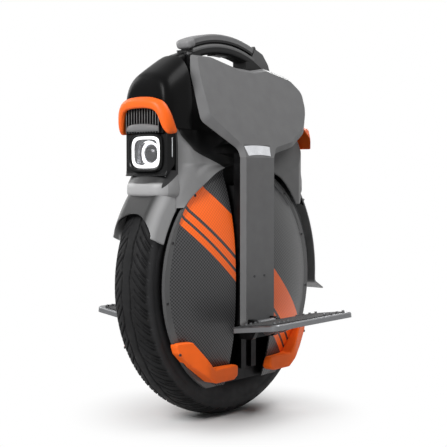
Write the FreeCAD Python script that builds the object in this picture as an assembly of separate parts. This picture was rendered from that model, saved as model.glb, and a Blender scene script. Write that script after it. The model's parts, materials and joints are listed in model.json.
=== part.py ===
import FreeCAD, Part
import math
import os

Vector = FreeCAD.Vector

# An electric unicycle with a sprung foot frame, in millimetres.
# X points forward, Y to the rider's left and Z up; the origin is on the ground below the axle.

# Clearances and fits
overrun = 5.0              # how far a cutting form runs past the face that it opens
seat_gap = 0.3             # between pieces that sit against each other
run_gap = 0.05             # radial play of a shaft, pin or rod in its bore
slide_gap = 0.4            # between the slider blocks and the rail
swing_gap = 0.6            # round a part that turns past another
travel_gap = 1.5           # between the shell and the heads of the lowered foot frame
small_corner = 2.0         # rounding of the small edges of mouldings and castings
corner_share = 0.48        # most of an edge that the rounding of one corner may take

# Wheel
tyre_radius = 253.0
tyre_width = 80.0
bead_radius = 178.0
tyre_crown_share = 0.89    # of the tyre's height, where the air space ends under the tread
tyre_outer_shares = (      # of half the width and of the height, from the crown to the bead
    ((0.36, 0.985), (0.66, 0.945)), ((0.92, 0.84), (1.0, 0.61)), ((0.97, 0.40), (0.73, 0.19)),
    ((0.73, 0.0),), ((0.52, 0.0),))
tyre_inner_shares = (((0.66, 0.24), (0.84, 0.5)), ((0.64, 0.79), (0.0, tyre_crown_share)), ((0.0, 1.0),))
groove_width = 5.0
groove_depth = 4.0
groove_offset = 13.0
tube_radius = 30.0
tube_wall = 2.5
flange_radius = 190.0
flange_width = 3.5
rim_width = 60.0
rim_well_radius = 170.0
rim_well_width = 24.0
rim_slope = 3.0
drum_bore_radius = 152.0
motor_cover_thickness = 6.0
motor_boss_radius = 34.0
motor_boss_depth = 15.0
magnet_thickness = 6.0
magnet_width = 44.0
air_gap = 1.0
valve_radius = 3.0
valve_length = 26.0
valve_angle = 30.0         # degrees

# Axle, stator and bearings
axle_z = tyre_radius
axle_radius = 12.5
axle_end_radius = 10.0
axle_shoulder_y = 40.0
axle_end_y = 66.0
bearing_radius = 26.0
bearing_width = 15.0
stator_width = 40.0
stator_depth = 36.0
stator_slots = 18
stator_slot_width = 12.0
stator_slot_depth = 26.0
stator_web_width = 8.0
stator_hub_radius = 32.0
stator_hub_width = 26.0

# Wheel plates and arch liner
plate_inner_y = 44.5
plate_thickness = 4.0
plate_lap = 2.0            # of a side cover's rim over the edge of its wheel plate
plate_bottom_z = 66.0
plate_tower_half = 132.0
plate_hole_radius = 30.0
plate_hole_pitch = 122.0
liner_radius = 258.5
liner_thickness = 3.2
liner_bevel = 8.0
liner_start_angle = 32.0   # degrees above the horizontal, at the rear

# Guide rail
rail_head_half = 22.0
rail_web_half = 14.0
rail_web_depth = 9.0
rail_head_depth = 13.0
rail_groove_half = 8.0
rail_groove_depth = 8.0
rail_bottom_z = 92.0
rail_spare = 6.0           # of the rail above the upper slider block
nut_sides = 6
nut_across = 28.0
nut_height = 7.0
nut_pocket_radius = 17.5
nut_pocket_depth = 10.0
anchor_z = 272.0
anchor_height = 12.0
anchor_half = 7.5
anchor_reach = 22.0

# Domed side covers, screws and battery packs
cover_inset = 39.0         # from the tread to the covers' rims
cover_rim_width = 12.0
cover_rim_height = 6.5
cover_wall = 3.0
cover_gap = 2.4            # shadow gap between the side covers and the shell above them
dome_height = 34.0
dome_mid_radius_share = 0.7
dome_mid_height_share = 0.74
channel_half = 56.0
cover_screw_radius = 2.9
cover_screw_length = 4.0
cover_screw_angles = (50.0, 22.0, -7.0)     # degrees above the horizontal
battery_inner_x = 62.0
battery_rim_room = 42.0    # from the rim of a cover to the pack inside it
battery_bottom_z = 150.0
battery_top_z = 380.0
battery_corner = 30.0

# Lower bumpers
bumper_leg_gap = 1.0       # beside the suspension leg when that is pressed down
bumper_end_x = 196.0
bumper_bottom_z = 79.0
bumper_top_z = 105.0
bumper_tip_z = 158.0
bumper_outer_y = 86.0
bumper_tip_y = 62.0
bumper_corner = 5.0
bumper_cheek_rounding = 40.0
bumper_cheek_share = 0.55  # of the length, where the outer face starts to taper
bumper_side_shares = (     # of the length and of the climb, along the top, round the tip and back below
    (0.77, 1.0), (1.0, 1.0), (0.95, 0.76), (0.75, 0.42), (0.42, 0.0), (0.07, 0.0), (0.0, 0.08))
bumper_climb_share = 0.45  # of the length, where the top edge starts to climb

# Foot frame: suspension legs and side panels, whose heads lean in above the bend
leg_inner_y = 74.0
panel_outer_y = 98.0
panel_thickness = 8.0
panel_chamfer = 7.0
column_half = 50.0
column_face_half = 42.0
column_bottom_z = 174.0
column_corner = 7.0
bend_z = 480.0
lean_angle = 20.8          # degrees from upright
head_front_x = 106.0
head_rear_x = 211.0
head_rise = 186.0          # of the horn above the bend
head_corner = 10.0
head_rim_shares = (        # of the reach and of the rise, each with the share of the corner rounding
    (0.46, 0.09, 2.5), (1.23, 0.35, 1.5), (1.15, 0.81, 3.0), (1.0, 1.0, 0.8), (0.47, 1.0, 4.0),
    (-0.07, 0.92, 6.0), (-0.285, 0.91, 4.0), (-0.50, 0.95, 2.0), (-0.85, 0.875, 2.5), (-1.0, 0.73, 2.0),
    (-0.97, 0.515, 4.0), (-0.83, 0.285, 4.0), (-0.57, 0.13, 4.0), (-0.275, 0.06, 3.0))
head_face_shares = (
    (0.38, 0.11, 2.5), (1.03, 0.40, 1.2), (0.99, 0.79, 3.0), (0.925, 0.965, 0.6), (0.48, 0.955, 4.0),
    (-0.065, 0.875, 6.0), (-0.28, 0.865, 4.0), (-0.49, 0.905, 2.0), (-0.825, 0.83, 2.5), (-0.955, 0.71, 2.0),
    (-0.93, 0.53, 4.0), (-0.80, 0.32, 4.0), (-0.555, 0.17, 4.0), (-0.25, 0.10, 3.0))
leg_inset = 1.5
leg_plate = 4.0            # thickness of the leg's head behind the panel
leg_top_share = 0.83       # of the rise, where the leg's head ends below the horn
leg_step = 8.0             # of the leg's column above the bend
window_corner = 8.0
front_window_shares = ((0.34, 0.26), (0.95, 0.47), (0.94, 0.68), (0.34, 0.68))
rear_window_shares = ((-0.26, 0.68), (-0.84, 0.68), (-0.86, 0.54), (-0.70, 0.32), (-0.26, 0.24))
badge_half = 33.0
badge_top_half = 39.0
badge_height = 21.0
badge_thickness = 0.8
badge_stand = 3.0          # above the bend

# Air springs and slider blocks
spring_y = 85.0
spring_radius = 9.0
spring_bottom_z = 372.0
spring_length = 104.0
spring_collar = 8.0
spring_collar_extra = 1.2
rod_radius = 4.5
rod_engage = 8.0
travel = 75.0
slot_half = 11.0
slot_bottom_z = 262.0
slider_half = 37.0
slider_inner_y = 50.0
slider_height = 44.0
upper_slider_z = 385.0
lower_slider_z = 182.0

# Fascias, cowl and visors
deck_z = 528.0             # top of the nose in front of the heads
roof_z = 518.0             # top of the shell between the heads
nose_x = 137.0             # where the nose's full width starts
shell_wall = 3.0
shell_half = 72.0
shell_front_x = 200.0
shell_front_half = 45.0
shell_taper_x = 80.0
shell_nose_rounding = 12.0
shell_side_rounding = 60.0
shell_tip_share = 0.9
lip_x = 216.0
lip_z = 434.0
lip_rise = 18.0
lip_rounding = 6.0
skirt_z = 391.0
skirt_front_x = 190.0
cowl_rear_x = 138.0
cowl_front_x = 204.0
cowl_top_z = 662.0
cowl_waist_z = 588.0
cowl_base_half = 54.0
cowl_top_half = 24.0
cowl_brow_rounding = 40.0
cowl_edge_rounding = 10.0
cowl_crest_shares = (0.6, 0.14)             # of the length and of the height, where the top turns down
visor_reach = 24.0
visor_bottom_z = 514.0
visor_top_z = 582.0
visor_band = 20.0
visor_half = 62.0
visor_rear_x = 186.0
visor_bend = 9.0           # ahead of the nose, where the visor's plan bends
visor_opening_half = 46.0
visor_rounding = 22.0
visor_tip_share = 0.75     # of the shell's front, half the width of the visor's tip
visor_bend_share = 0.93    # of the visor's half width, where its plan bends
visor_cheek_share = 0.45   # of the height, where the crown starts
visor_crown_share = 0.66   # of the half width, where the crown ends
tail_hood_front_x = 214.0
tail_hood_rear_x = 236.0
tail_hood_bottom_z = 500.0
tail_hood_top_z = 545.0
tail_hood_half = 62.0
tail_hood_wall = 5.0
tail_hood_neck_half = 30.0
tail_hood_neck = 12.0      # height of the neck that holds the hood

# Heat sink and controller
fin_count = 8
fin_thickness = 2.5
fin_reach = 13.0
fin_bottom_z = 524.0
fin_top_z = 551.0
sink_half = 43.0
sink_base = 3.5
sink_ledge = 4.0
controller_length = 46.0
controller_width = 68.0
controller_height = 50.0

# Lights
lamp_half = 39.0
lamp_bottom_z = 452.0
lamp_top_z = 519.0
lamp_depth = 22.0
lamp_frame = 6.0
lamp_corner = 22.0
lamp_brow_z = 521.5
lamp_chin_z = 446.0
lamp_cheek_z = 465.0
lamp_cheek_x = 187.0
bowl_depth = 15.0
bowl_wall = 1.5
ring_width = 8.0
ring_depth = 5.0
projector_radius = 15.0
projector_depth = 9.0
projector_dome_radius = 19.5
lens_thickness = 2.0
tail_half = 34.0
tail_bottom_z = 462.0
tail_top_z = 504.0
tail_depth = 12.0
tail_corner = 8.0

# Front fender and rear mudguard
fender_half = 47.0
fender_cheek = 4.6
fender_cheek_stand = 5.0   # from a cover's rim out to the fender's cheeks
fender_rounding = 22.0
fender_start_angle = 20.0  # degrees above the horizontal
fender_end_angle = 52.0
fender_arch_radius = 44.0
fender_arch_z = 337.0
fender_arch_x = 222.0      # where the arch over the tread starts
guard_half = 40.0
guard_thickness = 3.0
guard_start_angle = 140.0  # degrees from the front, over the top
guard_end_angle = 184.0
guard_flare_reach = 32.0
guard_flare_drop = 22.0
guard_flare_rounding = 12.0
guard_flare_bend_share = 0.3
tab_half = 22.0
tab_angle = 151.0
tab_stand = 20.0
tab_lean = 9.0
tab_waist_shares = (0.6, 0.4)               # of the stand, where the front and the back face bend

# Charge socket on the rear roof
socket_x = -166.0
socket_radius = 8.0
socket_body_radius = 11.0
socket_flange_radius = 14.0
socket_flange = 3.0
socket_depth = 12.0
socket_pin_radius = 2.0
cap_thickness = 4.0
cap_rounding = 1.0
cap_knuckle_radius = 2.5
cap_knuckle_half = 5.0
cap_lug = 3.0

# Bridges and handle
bridge_front_x = 108.0
bridge_length = 42.0
bridge_z = 606.0
bridge_height = 24.0
tail_bridge_rear_x = -132.0
tail_bridge_length = 90.0
arch_x = 5.0
arch_z = 437.5
grip_inner_radius = 236.0
grip_thickness = 19.0
grip_half = 16.0
grip_front_angle = 20.0    # degrees from the top of the arch, negative to the rear
grip_rear_angle = -22.0
grip_rounding = 6.0
foot_front_x = 106.0
foot_length = 34.0
heel_front_x = -62.0
heel_length = 78.0
heel_lap = 30.0
heel_rounding = 10.0
heel_shares = ((0.69, 0.85), (0.92, 0.54), (1.0, 0.31), (0.85, 0.0))     # of the heel's length and height
strip_gap = 2.0            # between the grip and the trolley bar on it
strip_thickness = 15.0
strip_half = 15.0
strip_front_angle = 18.5
strip_rear_angle = -19.8
strip_rounding = 4.0
strip_web_angle = 2.0
end_cap_lap = 1.5
end_cap_angle = 22.5
joint_gap_angle = 0.1
pivot_angle = -20.5
pivot_inset = 1.0          # from the trolley bar's outer face to its pivot
pivot_knuckle_radius = 5.0
pivot_knuckle_half = 6.0
pivot_ear_half = 14.0
pivot_pin_radius = 2.5
latch_thickness = 2.5
latch_half = 14.0
latch_height = 34.0
latch_hole_radius = 3.5

# Buttons
button_x = -53.0
button_radius = 7.0
button_height = 9.0
button_stand = 3.0
button_travel = 2.0
button_rounding = 1.0
lift_half = 10.0
lift_angle = 4.3           # degrees either side of the top
lift_room_angle = 0.5
lift_stand = 3.0
lift_depth = 3.5
lift_travel = 2.5

# Pedals
hinge_y = 108.0
hinge_z = 177.0
hinge_pin_radius = 4.0
knuckle_radius = 8.0
knuckle_half = 27.5
hanger_lug = 10.0
hanger_bottom_z = 150.0
hanger_lug_radius = 9.5
hanger_rounding = 9.0
pedal_front_x = 116.0
pedal_rear_x = 139.0
pedal_width = 110.0
pedal_inner = 13.0
pedal_top = 4.0
pedal_thickness = 10.0
pedal_corner = 14.0
pedal_bevel = 2.0
pedal_tilt_angle = 7.0     # degrees, rising outward
pedal_taper_shares = (0.97, 0.93)           # of the front and rear reach, at the narrower ends
pedal_rib = 7.0
pedal_rib_height = 15.0
pedal_rib_pitch = 20.0
pedal_rib_root = 6.0       # height of a rib at the knuckle
pedal_rib_reach = 82.0
pedal_window_half = 17.0
pedal_window_x = 72.0
pedal_window_corner = 6.0
grip_sheet = 1.2
grip_bond = 0.1            # glue line under the grip sheet and the studs
grip_inset = 9.0
stud_radius = 2.4
stud_height = 3.0
stud_columns = 4
stud_first_x = 57.0
stud_edge = 20.0           # from the pedal's front and rear reach to the last stud
stud_row_shares = (0.3, 0.86)               # of the pedal's width

lean = math.radians(lean_angle)
lean_slope = math.tan(lean)
panel_inner_y = panel_outer_y - panel_thickness
leg_outer_y = panel_inner_y - seat_gap
head_depth = panel_thickness + seat_gap + leg_plate
bumper_inner_x = column_half - leg_inset + bumper_leg_gap
plate_outer_y = plate_inner_y + plate_thickness
rail_outer_y = plate_outer_y + seat_gap + rail_web_depth + rail_head_depth
cover_base_y = plate_outer_y + seat_gap
fender_inner_radius = liner_radius + liner_thickness + seat_gap
fender_outer_radius = fender_inner_radius + guard_thickness
cover_radius = tyre_radius - cover_inset
plate_radius = cover_radius - plate_lap
fender_cheek_radius = cover_radius + fender_cheek_stand
battery_outer_x = cover_radius - battery_rim_room
rail_top_z = upper_slider_z + slider_height + rail_spare
grip_outer_radius = grip_inner_radius + grip_thickness
strip_inner_radius = grip_outer_radius + strip_gap
strip_outer_radius = strip_inner_radius + strip_thickness
pivot_radius = strip_outer_radius - pivot_inset
bridge_top_z = bridge_z + bridge_height
spring_top_z = spring_bottom_z + spring_length


def on_xz(y):
    return lambda p: Vector(p[0], y, p[1])


def on_xy(z):
    return lambda p: Vector(p[0], p[1], z)


def on_yz(x):
    return lambda p: Vector(x, p[0], p[1])


def box(x0, x1, y0, y1, z0, z1):
    return Part.makeBox(x1 - x0, y1 - y0, z1 - z0, Vector(x0, y0, z0))


def cylinder(radius, start, end):
    return Part.makeCylinder(radius, (end - start).Length, start, end - start)


def across(x, z, radius, y0, y1):
    """Cylinder along Y."""
    return cylinder(radius, Vector(x, y0, z), Vector(x, y1, z))


def along(y, z, radius, x0, x1):
    """Cylinder along X."""
    return cylinder(radius, Vector(x0, y, z), Vector(x1, y, z))


def upright(x, y, radius, z0, z1):
    """Cylinder along Z."""
    return cylinder(radius, Vector(x, y, z0), Vector(x, y, z1))


def other_side(shape):
    return shape.mirror(Vector(0, 0, 0), Vector(0, 1, 0))


def other_end(shape):
    return shape.mirror(Vector(0, 0, 0), Vector(1, 0, 0))


def pair(shape):
    return Part.makeCompound([shape, other_side(shape)])


def unit(vector):
    return vector * (1 / vector.Length)


def rounded(corners, place):
    """Closed wire through corners (a, b, radius), each rounded as far as its edges allow."""
    turns = []
    count = len(corners)
    for i in range(count):
        here = Vector(corners[i][0], corners[i][1], 0)
        back = Vector(corners[i - 1][0], corners[i - 1][1], 0) - here
        ahead = Vector(corners[(i + 1) % count][0], corners[(i + 1) % count][1], 0) - here
        half = back.getAngle(ahead) / 2
        reach = min(corners[i][2] / math.tan(half), corner_share * min(back.Length, ahead.Length))
        radius = reach * math.tan(half)
        middle = here
        if radius > 0:
            middle = here + unit(unit(back) + unit(ahead)) * (radius / math.sin(half) - radius)
        turns.append((here + unit(back) * reach, middle, here + unit(ahead) * reach))
    edges = []
    for i in range(count):
        start, middle, end = (place(p) for p in turns[i])
        if (end - start).Length > 0:
            edges.append(Part.Arc(start, middle, end).toShape())
        following = place(turns[(i + 1) % count][0])
        edges.append(Part.makeLine(end, following))
    return Part.Wire(edges)


def outline(start, steps, place):
    """Closed wire; a step of one point is a straight edge, a step of two an arc through the first."""
    edges = []
    here = place(start)
    for step in steps:
        there = place(step[-1])
        if len(step) > 1:
            edges.append(Part.Arc(here, place(step[0]), there).toShape())
        else:
            edges.append(Part.makeLine(here, there))
        here = there
    return Part.Wire(edges)


def plate_xz(corners, y0, y1):
    return Part.Face(rounded(corners, on_xz(y0))).extrude(Vector(0, y1 - y0, 0))


def plate_xy(corners, z0, z1):
    return Part.Face(rounded(corners, on_xy(z0))).extrude(Vector(0, 0, z1 - z0))


def plate_yz(corners, x0, x1):
    return Part.Face(rounded(corners, on_yz(x0))).extrude(Vector(x1 - x0, 0, 0))


def rectangle(a0, a1, b0, b1, radius):
    return [(a0, b0, radius), (a1, b0, radius), (a1, b1, radius), (a0, b1, radius)]


def both_sides(corners):
    """Corners (along, across, radius) of one side, followed back along the other side."""
    return corners + [(a, -b, radius) for a, b, radius in reversed(corners)]


def both_ends(corners):
    """Corners (across, up, radius) of one half, followed back along its mirror half."""
    return corners + [(-a, b, radius) for a, b, radius in reversed(corners)]


def in_section(p):
    """A point (distance across, distance from the axle) on the upright plane through the axle."""
    return Vector(0, p[0], axle_z + p[1])


def turned(wire):
    """The section swept right round the axle."""
    return Part.Face(wire).revolve(Vector(0, 0, axle_z), Vector(0, 1, 0), 360)


def ring(y0, y1, r0, r1):
    return turned(rounded(rectangle(y0, y1, r0, r1, 0), in_section))


def wheel_sector(corners, start, end):
    """A section of corners (across, from the axle, radius) swept from one angle to another."""
    def place(p):
        angle = math.radians(start)
        return Vector(p[1] * math.cos(angle), p[0], axle_z + p[1] * math.sin(angle))
    face = Part.Face(rounded(corners, place))
    return face.revolve(Vector(0, 0, axle_z), Vector(0, -1, 0), end - start)


def on_arch(radius, degrees):
    """The point (x, z) on the handle's arch, the angle counted forward from its top."""
    angle = math.radians(degrees)
    return (arch_x + radius * math.sin(angle), arch_z + radius * math.cos(angle))


def arch(r0, r1, a0, a1, half):
    """A curved bar on the handle's arch."""
    middle = (a0 + a1) / 2
    wire = outline(on_arch(r0, a0), [
        (on_arch(r0, middle), on_arch(r0, a1)),
        (on_arch(r1, a1),),
        (on_arch(r1, middle), on_arch(r1, a0)),
        (on_arch(r0, a0),)], on_xz(-half))
    return Part.Face(wire).extrude(Vector(0, half + half, 0))


def soften(shape, radius, keep):
    """Round the edges that the test keeps."""
    return shape.makeFillet(radius, [e for e in shape.Edges if keep(e)])


def leaned(shape):
    """A piece of the left head, drawn upright, tipped in about the bend."""
    tipped = shape.copy()
    tipped.rotate(Vector(0, panel_outer_y, bend_z), Vector(1, 0, 0), lean_angle)
    return tipped


def head_y(z, depth):
    """Distance from the middle plane to the left head at a height, at a depth behind its outer face."""
    return panel_outer_y - depth / math.cos(lean) - lean_slope * (z - bend_z)


def shoulder_y(z, wall):
    """Half the width that the lowered heads leave for the shell at a height, less its wall."""
    return head_y(z + travel, head_depth) - travel_gap - wall / math.cos(lean)


def tyre():
    half = tyre_width / 2
    height = tyre_radius - bead_radius

    def place(p):
        return in_section((p[0] * half, bead_radius + p[1] * height))

    section = turned(outline((0, 1), tyre_outer_shares + tyre_inner_shares, place))
    body = section.fuse(other_side(section)).removeSplitter()
    groove = ring(groove_offset - groove_width / 2, groove_offset + groove_width / 2,
                  tyre_radius - groove_depth, tyre_radius + overrun)
    return body.cut([groove, other_side(groove)])


def inner_tube():
    crown = bead_radius + tyre_crown_share * (tyre_radius - bead_radius)
    middle = crown - seat_gap - tube_radius
    centre = Vector(0, 0, axle_z)
    spin = Vector(0, 1, 0)
    air = Part.makeTorus(middle, tube_radius - tube_wall, centre, spin)
    return Part.makeTorus(middle, tube_radius, centre, spin).cut(air)


def valve_form(grow, extra):
    """Stem that leans out of the rim's well, with room round it where it passes the drum."""
    angle = math.radians(valve_angle)
    foot = Vector(0, rim_well_width / 4, axle_z + rim_well_radius + rim_slope)
    way = Vector(0, math.cos(angle), -math.sin(angle))
    return cylinder(valve_radius + grow, foot, foot + way * (valve_length + extra))


def hub_drum():
    half = rim_width / 2
    well = rim_well_width / 2
    seat = bead_radius - seat_gap
    side = half + flange_width
    foot = seat - flange_radius + drum_bore_radius + flange_width
    right = [(well, rim_well_radius), (well + rim_slope, seat), (half, seat), (half, flange_radius),
             (side, flange_radius), (side, foot), (half, drum_bore_radius)]
    drum = turned(rounded(both_ends([(y, r, 0) for y, r in right]), in_section))
    return drum.cut(valve_form(seat_gap, overrun))


def motor_cover():
    outer = drum_bore_radius - seat_gap
    face = rim_width / 2
    inside = face - motor_cover_thickness
    boss = face - motor_boss_depth
    bore = bearing_radius + run_gap
    corners = [(boss, bore), (boss, motor_boss_radius), (inside, motor_boss_radius + motor_cover_thickness),
               (inside, outer), (face, outer), (face, bore)]
    return turned(rounded([(y, r, 0) for y, r in corners], in_section))


def rotor_magnets():
    outer = drum_bore_radius - seat_gap
    return ring(-magnet_width / 2, magnet_width / 2, outer - magnet_thickness, outer)


def bearing():
    face = rim_width / 2
    return ring(face - bearing_width, face, axle_radius + run_gap, bearing_radius)


def axle():
    middle = across(0, axle_z, axle_radius, -axle_shoulder_y, axle_shoulder_y)
    ends = across(0, axle_z, axle_end_radius, -axle_end_y, axle_end_y)
    return middle.fuse(ends)


def motor_stator():
    outer = drum_bore_radius - seat_gap - magnet_thickness - air_gap
    inner = outer - stator_depth
    core = ring(-stator_width / 2, stator_width / 2, inner, outer)
    slots = []
    for i in range(stator_slots):
        slot = box(-stator_slot_width / 2, stator_slot_width / 2, -stator_width, stator_width,
                   axle_z + outer - stator_slot_depth, axle_z + outer + overrun)
        slot.rotate(Vector(0, 0, axle_z), Vector(0, 1, 0), 360 * i / stator_slots)
        slots.append(slot)
    web = ring(-stator_web_width / 2, stator_web_width / 2, stator_hub_radius / 2, inner + overrun)
    hub = ring(-stator_hub_width / 2, stator_hub_width / 2, axle_radius + run_gap, stator_hub_radius)
    return core.cut(slots).fuse([web, hub]).removeSplitter()


def plate_top():
    """Height at which the shell's shoulders come to rest on the wheel plates."""
    return roof_z + (shoulder_y(roof_z, shell_wall) - plate_outer_y - seat_gap) / lean_slope


def wheel_plate():
    disc = across(0, axle_z, plate_radius, plate_inner_y, plate_outer_y)
    tower = box(-plate_tower_half, plate_tower_half, plate_inner_y, plate_outer_y, axle_z, plate_top())
    foot = box(-plate_radius, plate_radius, plate_inner_y - overrun, plate_outer_y + overrun, 0, plate_bottom_z)
    holes = [across(0, axle_z, axle_end_radius + run_gap, plate_inner_y - overrun, plate_outer_y + overrun)]
    for side in (1, -1):
        for end in (1, -1):
            holes.append(across(side * plate_hole_pitch, axle_z + end * plate_hole_pitch / 2, plate_hole_radius,
                                plate_inner_y - overrun, plate_outer_y + overrun))
    return disc.fuse(tower).cut([foot] + holes).removeSplitter()


def wheel_arch():
    """Liner over the tyre with bevelled shoulders."""
    half = plate_inner_y - seat_gap
    outer = liner_radius + liner_thickness
    foot = outer - liner_bevel
    inner = half - liner_thickness
    right = [(inner - liner_radius + foot, liner_radius, 0), (inner, foot, 0), (half, foot, 0),
             (half - liner_bevel, outer, 0)]
    return wheel_sector(both_ends(right), fender_end_angle + joint_gap_angle, 180 - liner_start_angle)


def rail_section(gap):
    """Half-lapped T of the guide rail, grown by the gap where the slider runs on it."""
    back = plate_outer_y + seat_gap
    neck = back + rail_web_depth
    web = rail_web_half + gap
    head = rail_head_half + gap
    return [(-web, back, 0), (web, back, 0), (web, neck - gap, 0), (head, neck - gap, 0),
            (head, rail_outer_y + gap, 0), (-head, rail_outer_y + gap, 0), (-head, neck - gap, 0),
            (-web, neck - gap, 0)]


def guide_rail():
    rail = plate_xy(rail_section(0), rail_bottom_z, rail_top_z)
    groove_y = rail_outer_y - rail_groove_depth
    groove = box(-rail_groove_half, rail_groove_half, groove_y, rail_outer_y + overrun,
                 rail_bottom_z - overrun, rail_top_z + overrun)
    pocket = across(0, axle_z, nut_pocket_radius, rail_outer_y - nut_pocket_depth, rail_outer_y + overrun)
    bore = across(0, axle_z, axle_end_radius + run_gap, plate_outer_y, rail_outer_y)
    lug = plate_yz([(groove_y, anchor_z, 0), (rail_outer_y + anchor_reach, anchor_z, small_corner),
                    (rail_outer_y + anchor_reach, anchor_z + anchor_height, small_corner),
                    (groove_y, anchor_z + anchor_height, 0)], -anchor_half, anchor_half)
    return rail.cut([groove, pocket, bore]).fuse(lug).removeSplitter()


def axle_nut():
    y0 = rail_outer_y - nut_pocket_depth + seat_gap
    radius = nut_across / math.sqrt(3)
    corners = []
    for i in range(nut_sides):
        angle = math.radians(360 * i / nut_sides)
        corners.append((radius * math.cos(angle), axle_z + radius * math.sin(angle), 0))
    nut = plate_xz(corners, y0, y0 + nut_height)
    return nut.cut(across(0, axle_z, axle_end_radius + run_gap, y0 - overrun, y0 + nut_height + overrun))


def dome_section(inset):
    """Section of the domed cover from its rim to its middle, moved inward by the inset."""
    rim = cover_radius - cover_rim_width
    step_y = cover_base_y + cover_rim_height - inset
    peak_y = cover_base_y + dome_height - inset
    mid = (cover_base_y + dome_height * dome_mid_height_share - inset, rim * dome_mid_radius_share)
    edge = (step_y, rim)
    outer = cover_radius - inset
    return outline((cover_base_y, 0), [
        ((cover_base_y, outer),),
        ((step_y, outer),),
        (edge,),
        (mid, (peak_y, 0)),
        ((cover_base_y, 0),)], in_section)


def side_cover(end):
    """Domed cover in front of the rail channel (end 1) or behind it (end -1), on the left."""
    shell = turned(dome_section(0)).cut(turned(dome_section(cover_wall)))
    keep = box(channel_half, cover_radius + overrun, cover_base_y, cover_base_y + dome_height + overrun,
               plate_bottom_z, axle_z + cover_radius + overrun)
    cover = shell.common(keep)
    cover = cover.cut([screw_body(angle, seat_gap, overrun) for angle in cover_screw_angles])
    return cover if end > 0 else other_end(cover)


def screw_body(angle, grow, extra):
    turn = math.radians(angle)
    radius = cover_radius - cover_rim_width / 2
    return across(radius * math.cos(turn), axle_z + radius * math.sin(turn), cover_screw_radius + grow,
                  cover_base_y - extra, cover_base_y + cover_screw_length + extra + extra)


def cover_screws():
    screws = []
    for angle in cover_screw_angles:
        screw = screw_body(angle, 0, 0)
        for each in (screw, other_end(screw)):
            screws += [each, other_side(each)]
    return Part.makeCompound(screws)


def battery_packs():
    inside = turned(dome_section(cover_wall + seat_gap))
    block = plate_xz(rectangle(battery_inner_x, battery_outer_x, battery_bottom_z, battery_top_z, battery_corner),
                     cover_base_y, cover_base_y + dome_height)
    packs = []
    pack = block.common(inside)
    for each in (pack, other_end(pack)):
        packs += [each, other_side(each)]
    return Part.makeCompound(packs)


def lower_bumper(end):
    """Guard below a side cover, in front of the rail channel (end 1) or behind it (end -1), on the left."""
    length = bumper_end_x - bumper_inner_x
    climb = bumper_tip_z - bumper_bottom_z
    corners = [(bumper_inner_x, bumper_top_z, bumper_corner),
               (bumper_inner_x + length * bumper_climb_share, bumper_top_z, bumper_corner)]
    for reach, rise in bumper_side_shares:
        corners.append((bumper_inner_x + length * reach, bumper_bottom_z + climb * rise, bumper_corner))
    side = plate_xz(corners, cover_base_y, bumper_outer_y)
    top = plate_xy([
        (bumper_inner_x - overrun, cover_base_y, 0),
        (bumper_end_x + overrun, cover_base_y, 0),
        (bumper_end_x + overrun, bumper_tip_y, 0),
        (bumper_inner_x + length * bumper_cheek_share, bumper_outer_y, bumper_cheek_rounding),
        (bumper_inner_x - overrun, bumper_outer_y, 0)], 0, axle_z)
    bumper = side.common(top).cut(turned(dome_section(-seat_gap)))
    bumper = max(bumper.Solids, key=lambda s: s.Volume)
    return bumper if end > 0 else other_end(bumper)


def shell_profile(wall, rear):
    foot_z = skirt_z - (overrun if wall else 0)
    return [(rear, foot_z, 0),
            (skirt_front_x - wall, foot_z, 0),
            (lip_x - wall, lip_z - lip_rise, lip_rounding),
            (lip_x - wall, lip_z, lip_rounding),
            (shell_front_x - wall, lip_z + lip_rise, lip_rounding * 2),
            (shell_front_x - wall, deck_z - wall, lip_rounding * 2),
            (rear, deck_z - wall, 0)]


def shell_plan(grow, rear):
    half = shell_half + grow
    front = shell_front_half + grow
    right = [(lip_x + grow, -front * shell_tip_share, shell_nose_rounding),
             (shell_front_x * shell_tip_share, -(half + front) / 2, shell_side_rounding / 2),
             (shell_taper_x, -half, shell_side_rounding), (rear, -half, 0)]
    return both_sides(right)


def shell_room(wall, rear, nose):
    """Space inside the lowered heads: sloping shoulders, and in front the full width of the nose."""
    foot = skirt_z - overrun
    top = roof_z - wall
    low_y = shoulder_y(foot, wall)
    top_y = shoulder_y(top, wall)
    slope = plate_yz([(-low_y, foot, 0), (low_y, foot, 0), (top_y, top, lip_rounding), (-top_y, top, lip_rounding)],
                     rear, lip_x + overrun)
    if not nose:
        return slope
    half = shell_half + overrun
    return slope.fuse(box(nose_x + wall, lip_x + overrun, -half, half, foot, deck_z))


def shell_form(wall, rear, nose):
    side = plate_xz(shell_profile(wall, rear), -shell_half, shell_half)
    plan = plate_xy(shell_plan(-wall, rear), skirt_z - overrun, deck_z)
    return side.common(plan).common(shell_room(wall, rear, nose))


def fascia(pocket, nose):
    """Front or rear half of the upper shell, hollow, opened for the wheel, the covers and a lamp."""
    half = fender_half + swing_gap
    well = across(0, axle_z, fender_inner_radius, -half, half)
    fender_room = wheel_sector(rectangle(-half, half, liner_radius, fender_outer_radius + swing_gap, 0),
                               0, fender_end_angle + joint_gap_angle)
    covers = across(0, axle_z, cover_radius + cover_gap, -shell_half - overrun, shell_half + overrun)
    inside = shell_form(shell_wall, -overrun, nose)
    return shell_form(0, seat_gap / 2, nose).cut([inside, well, fender_room, covers, pocket])


def lamp_corners(grow):
    return rectangle(-lamp_half - grow, lamp_half + grow, lamp_bottom_z - grow, lamp_top_z + grow, lamp_corner)


def lamp_slab(grow):
    """The slice of the nose that the headlight housing takes up, seen from the side."""
    side = [(lamp_cheek_x - grow, lamp_cheek_z - grow, small_corner),
            (lamp_cheek_x - grow, lamp_brow_z + grow, small_corner),
            (lip_x + overrun, lamp_brow_z + grow, 0), (lip_x + overrun, lamp_chin_z - grow, 0),
            (shell_front_x - grow, lamp_chin_z - grow, small_corner)]
    return plate_xz(side, -shell_half, shell_half)


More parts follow.
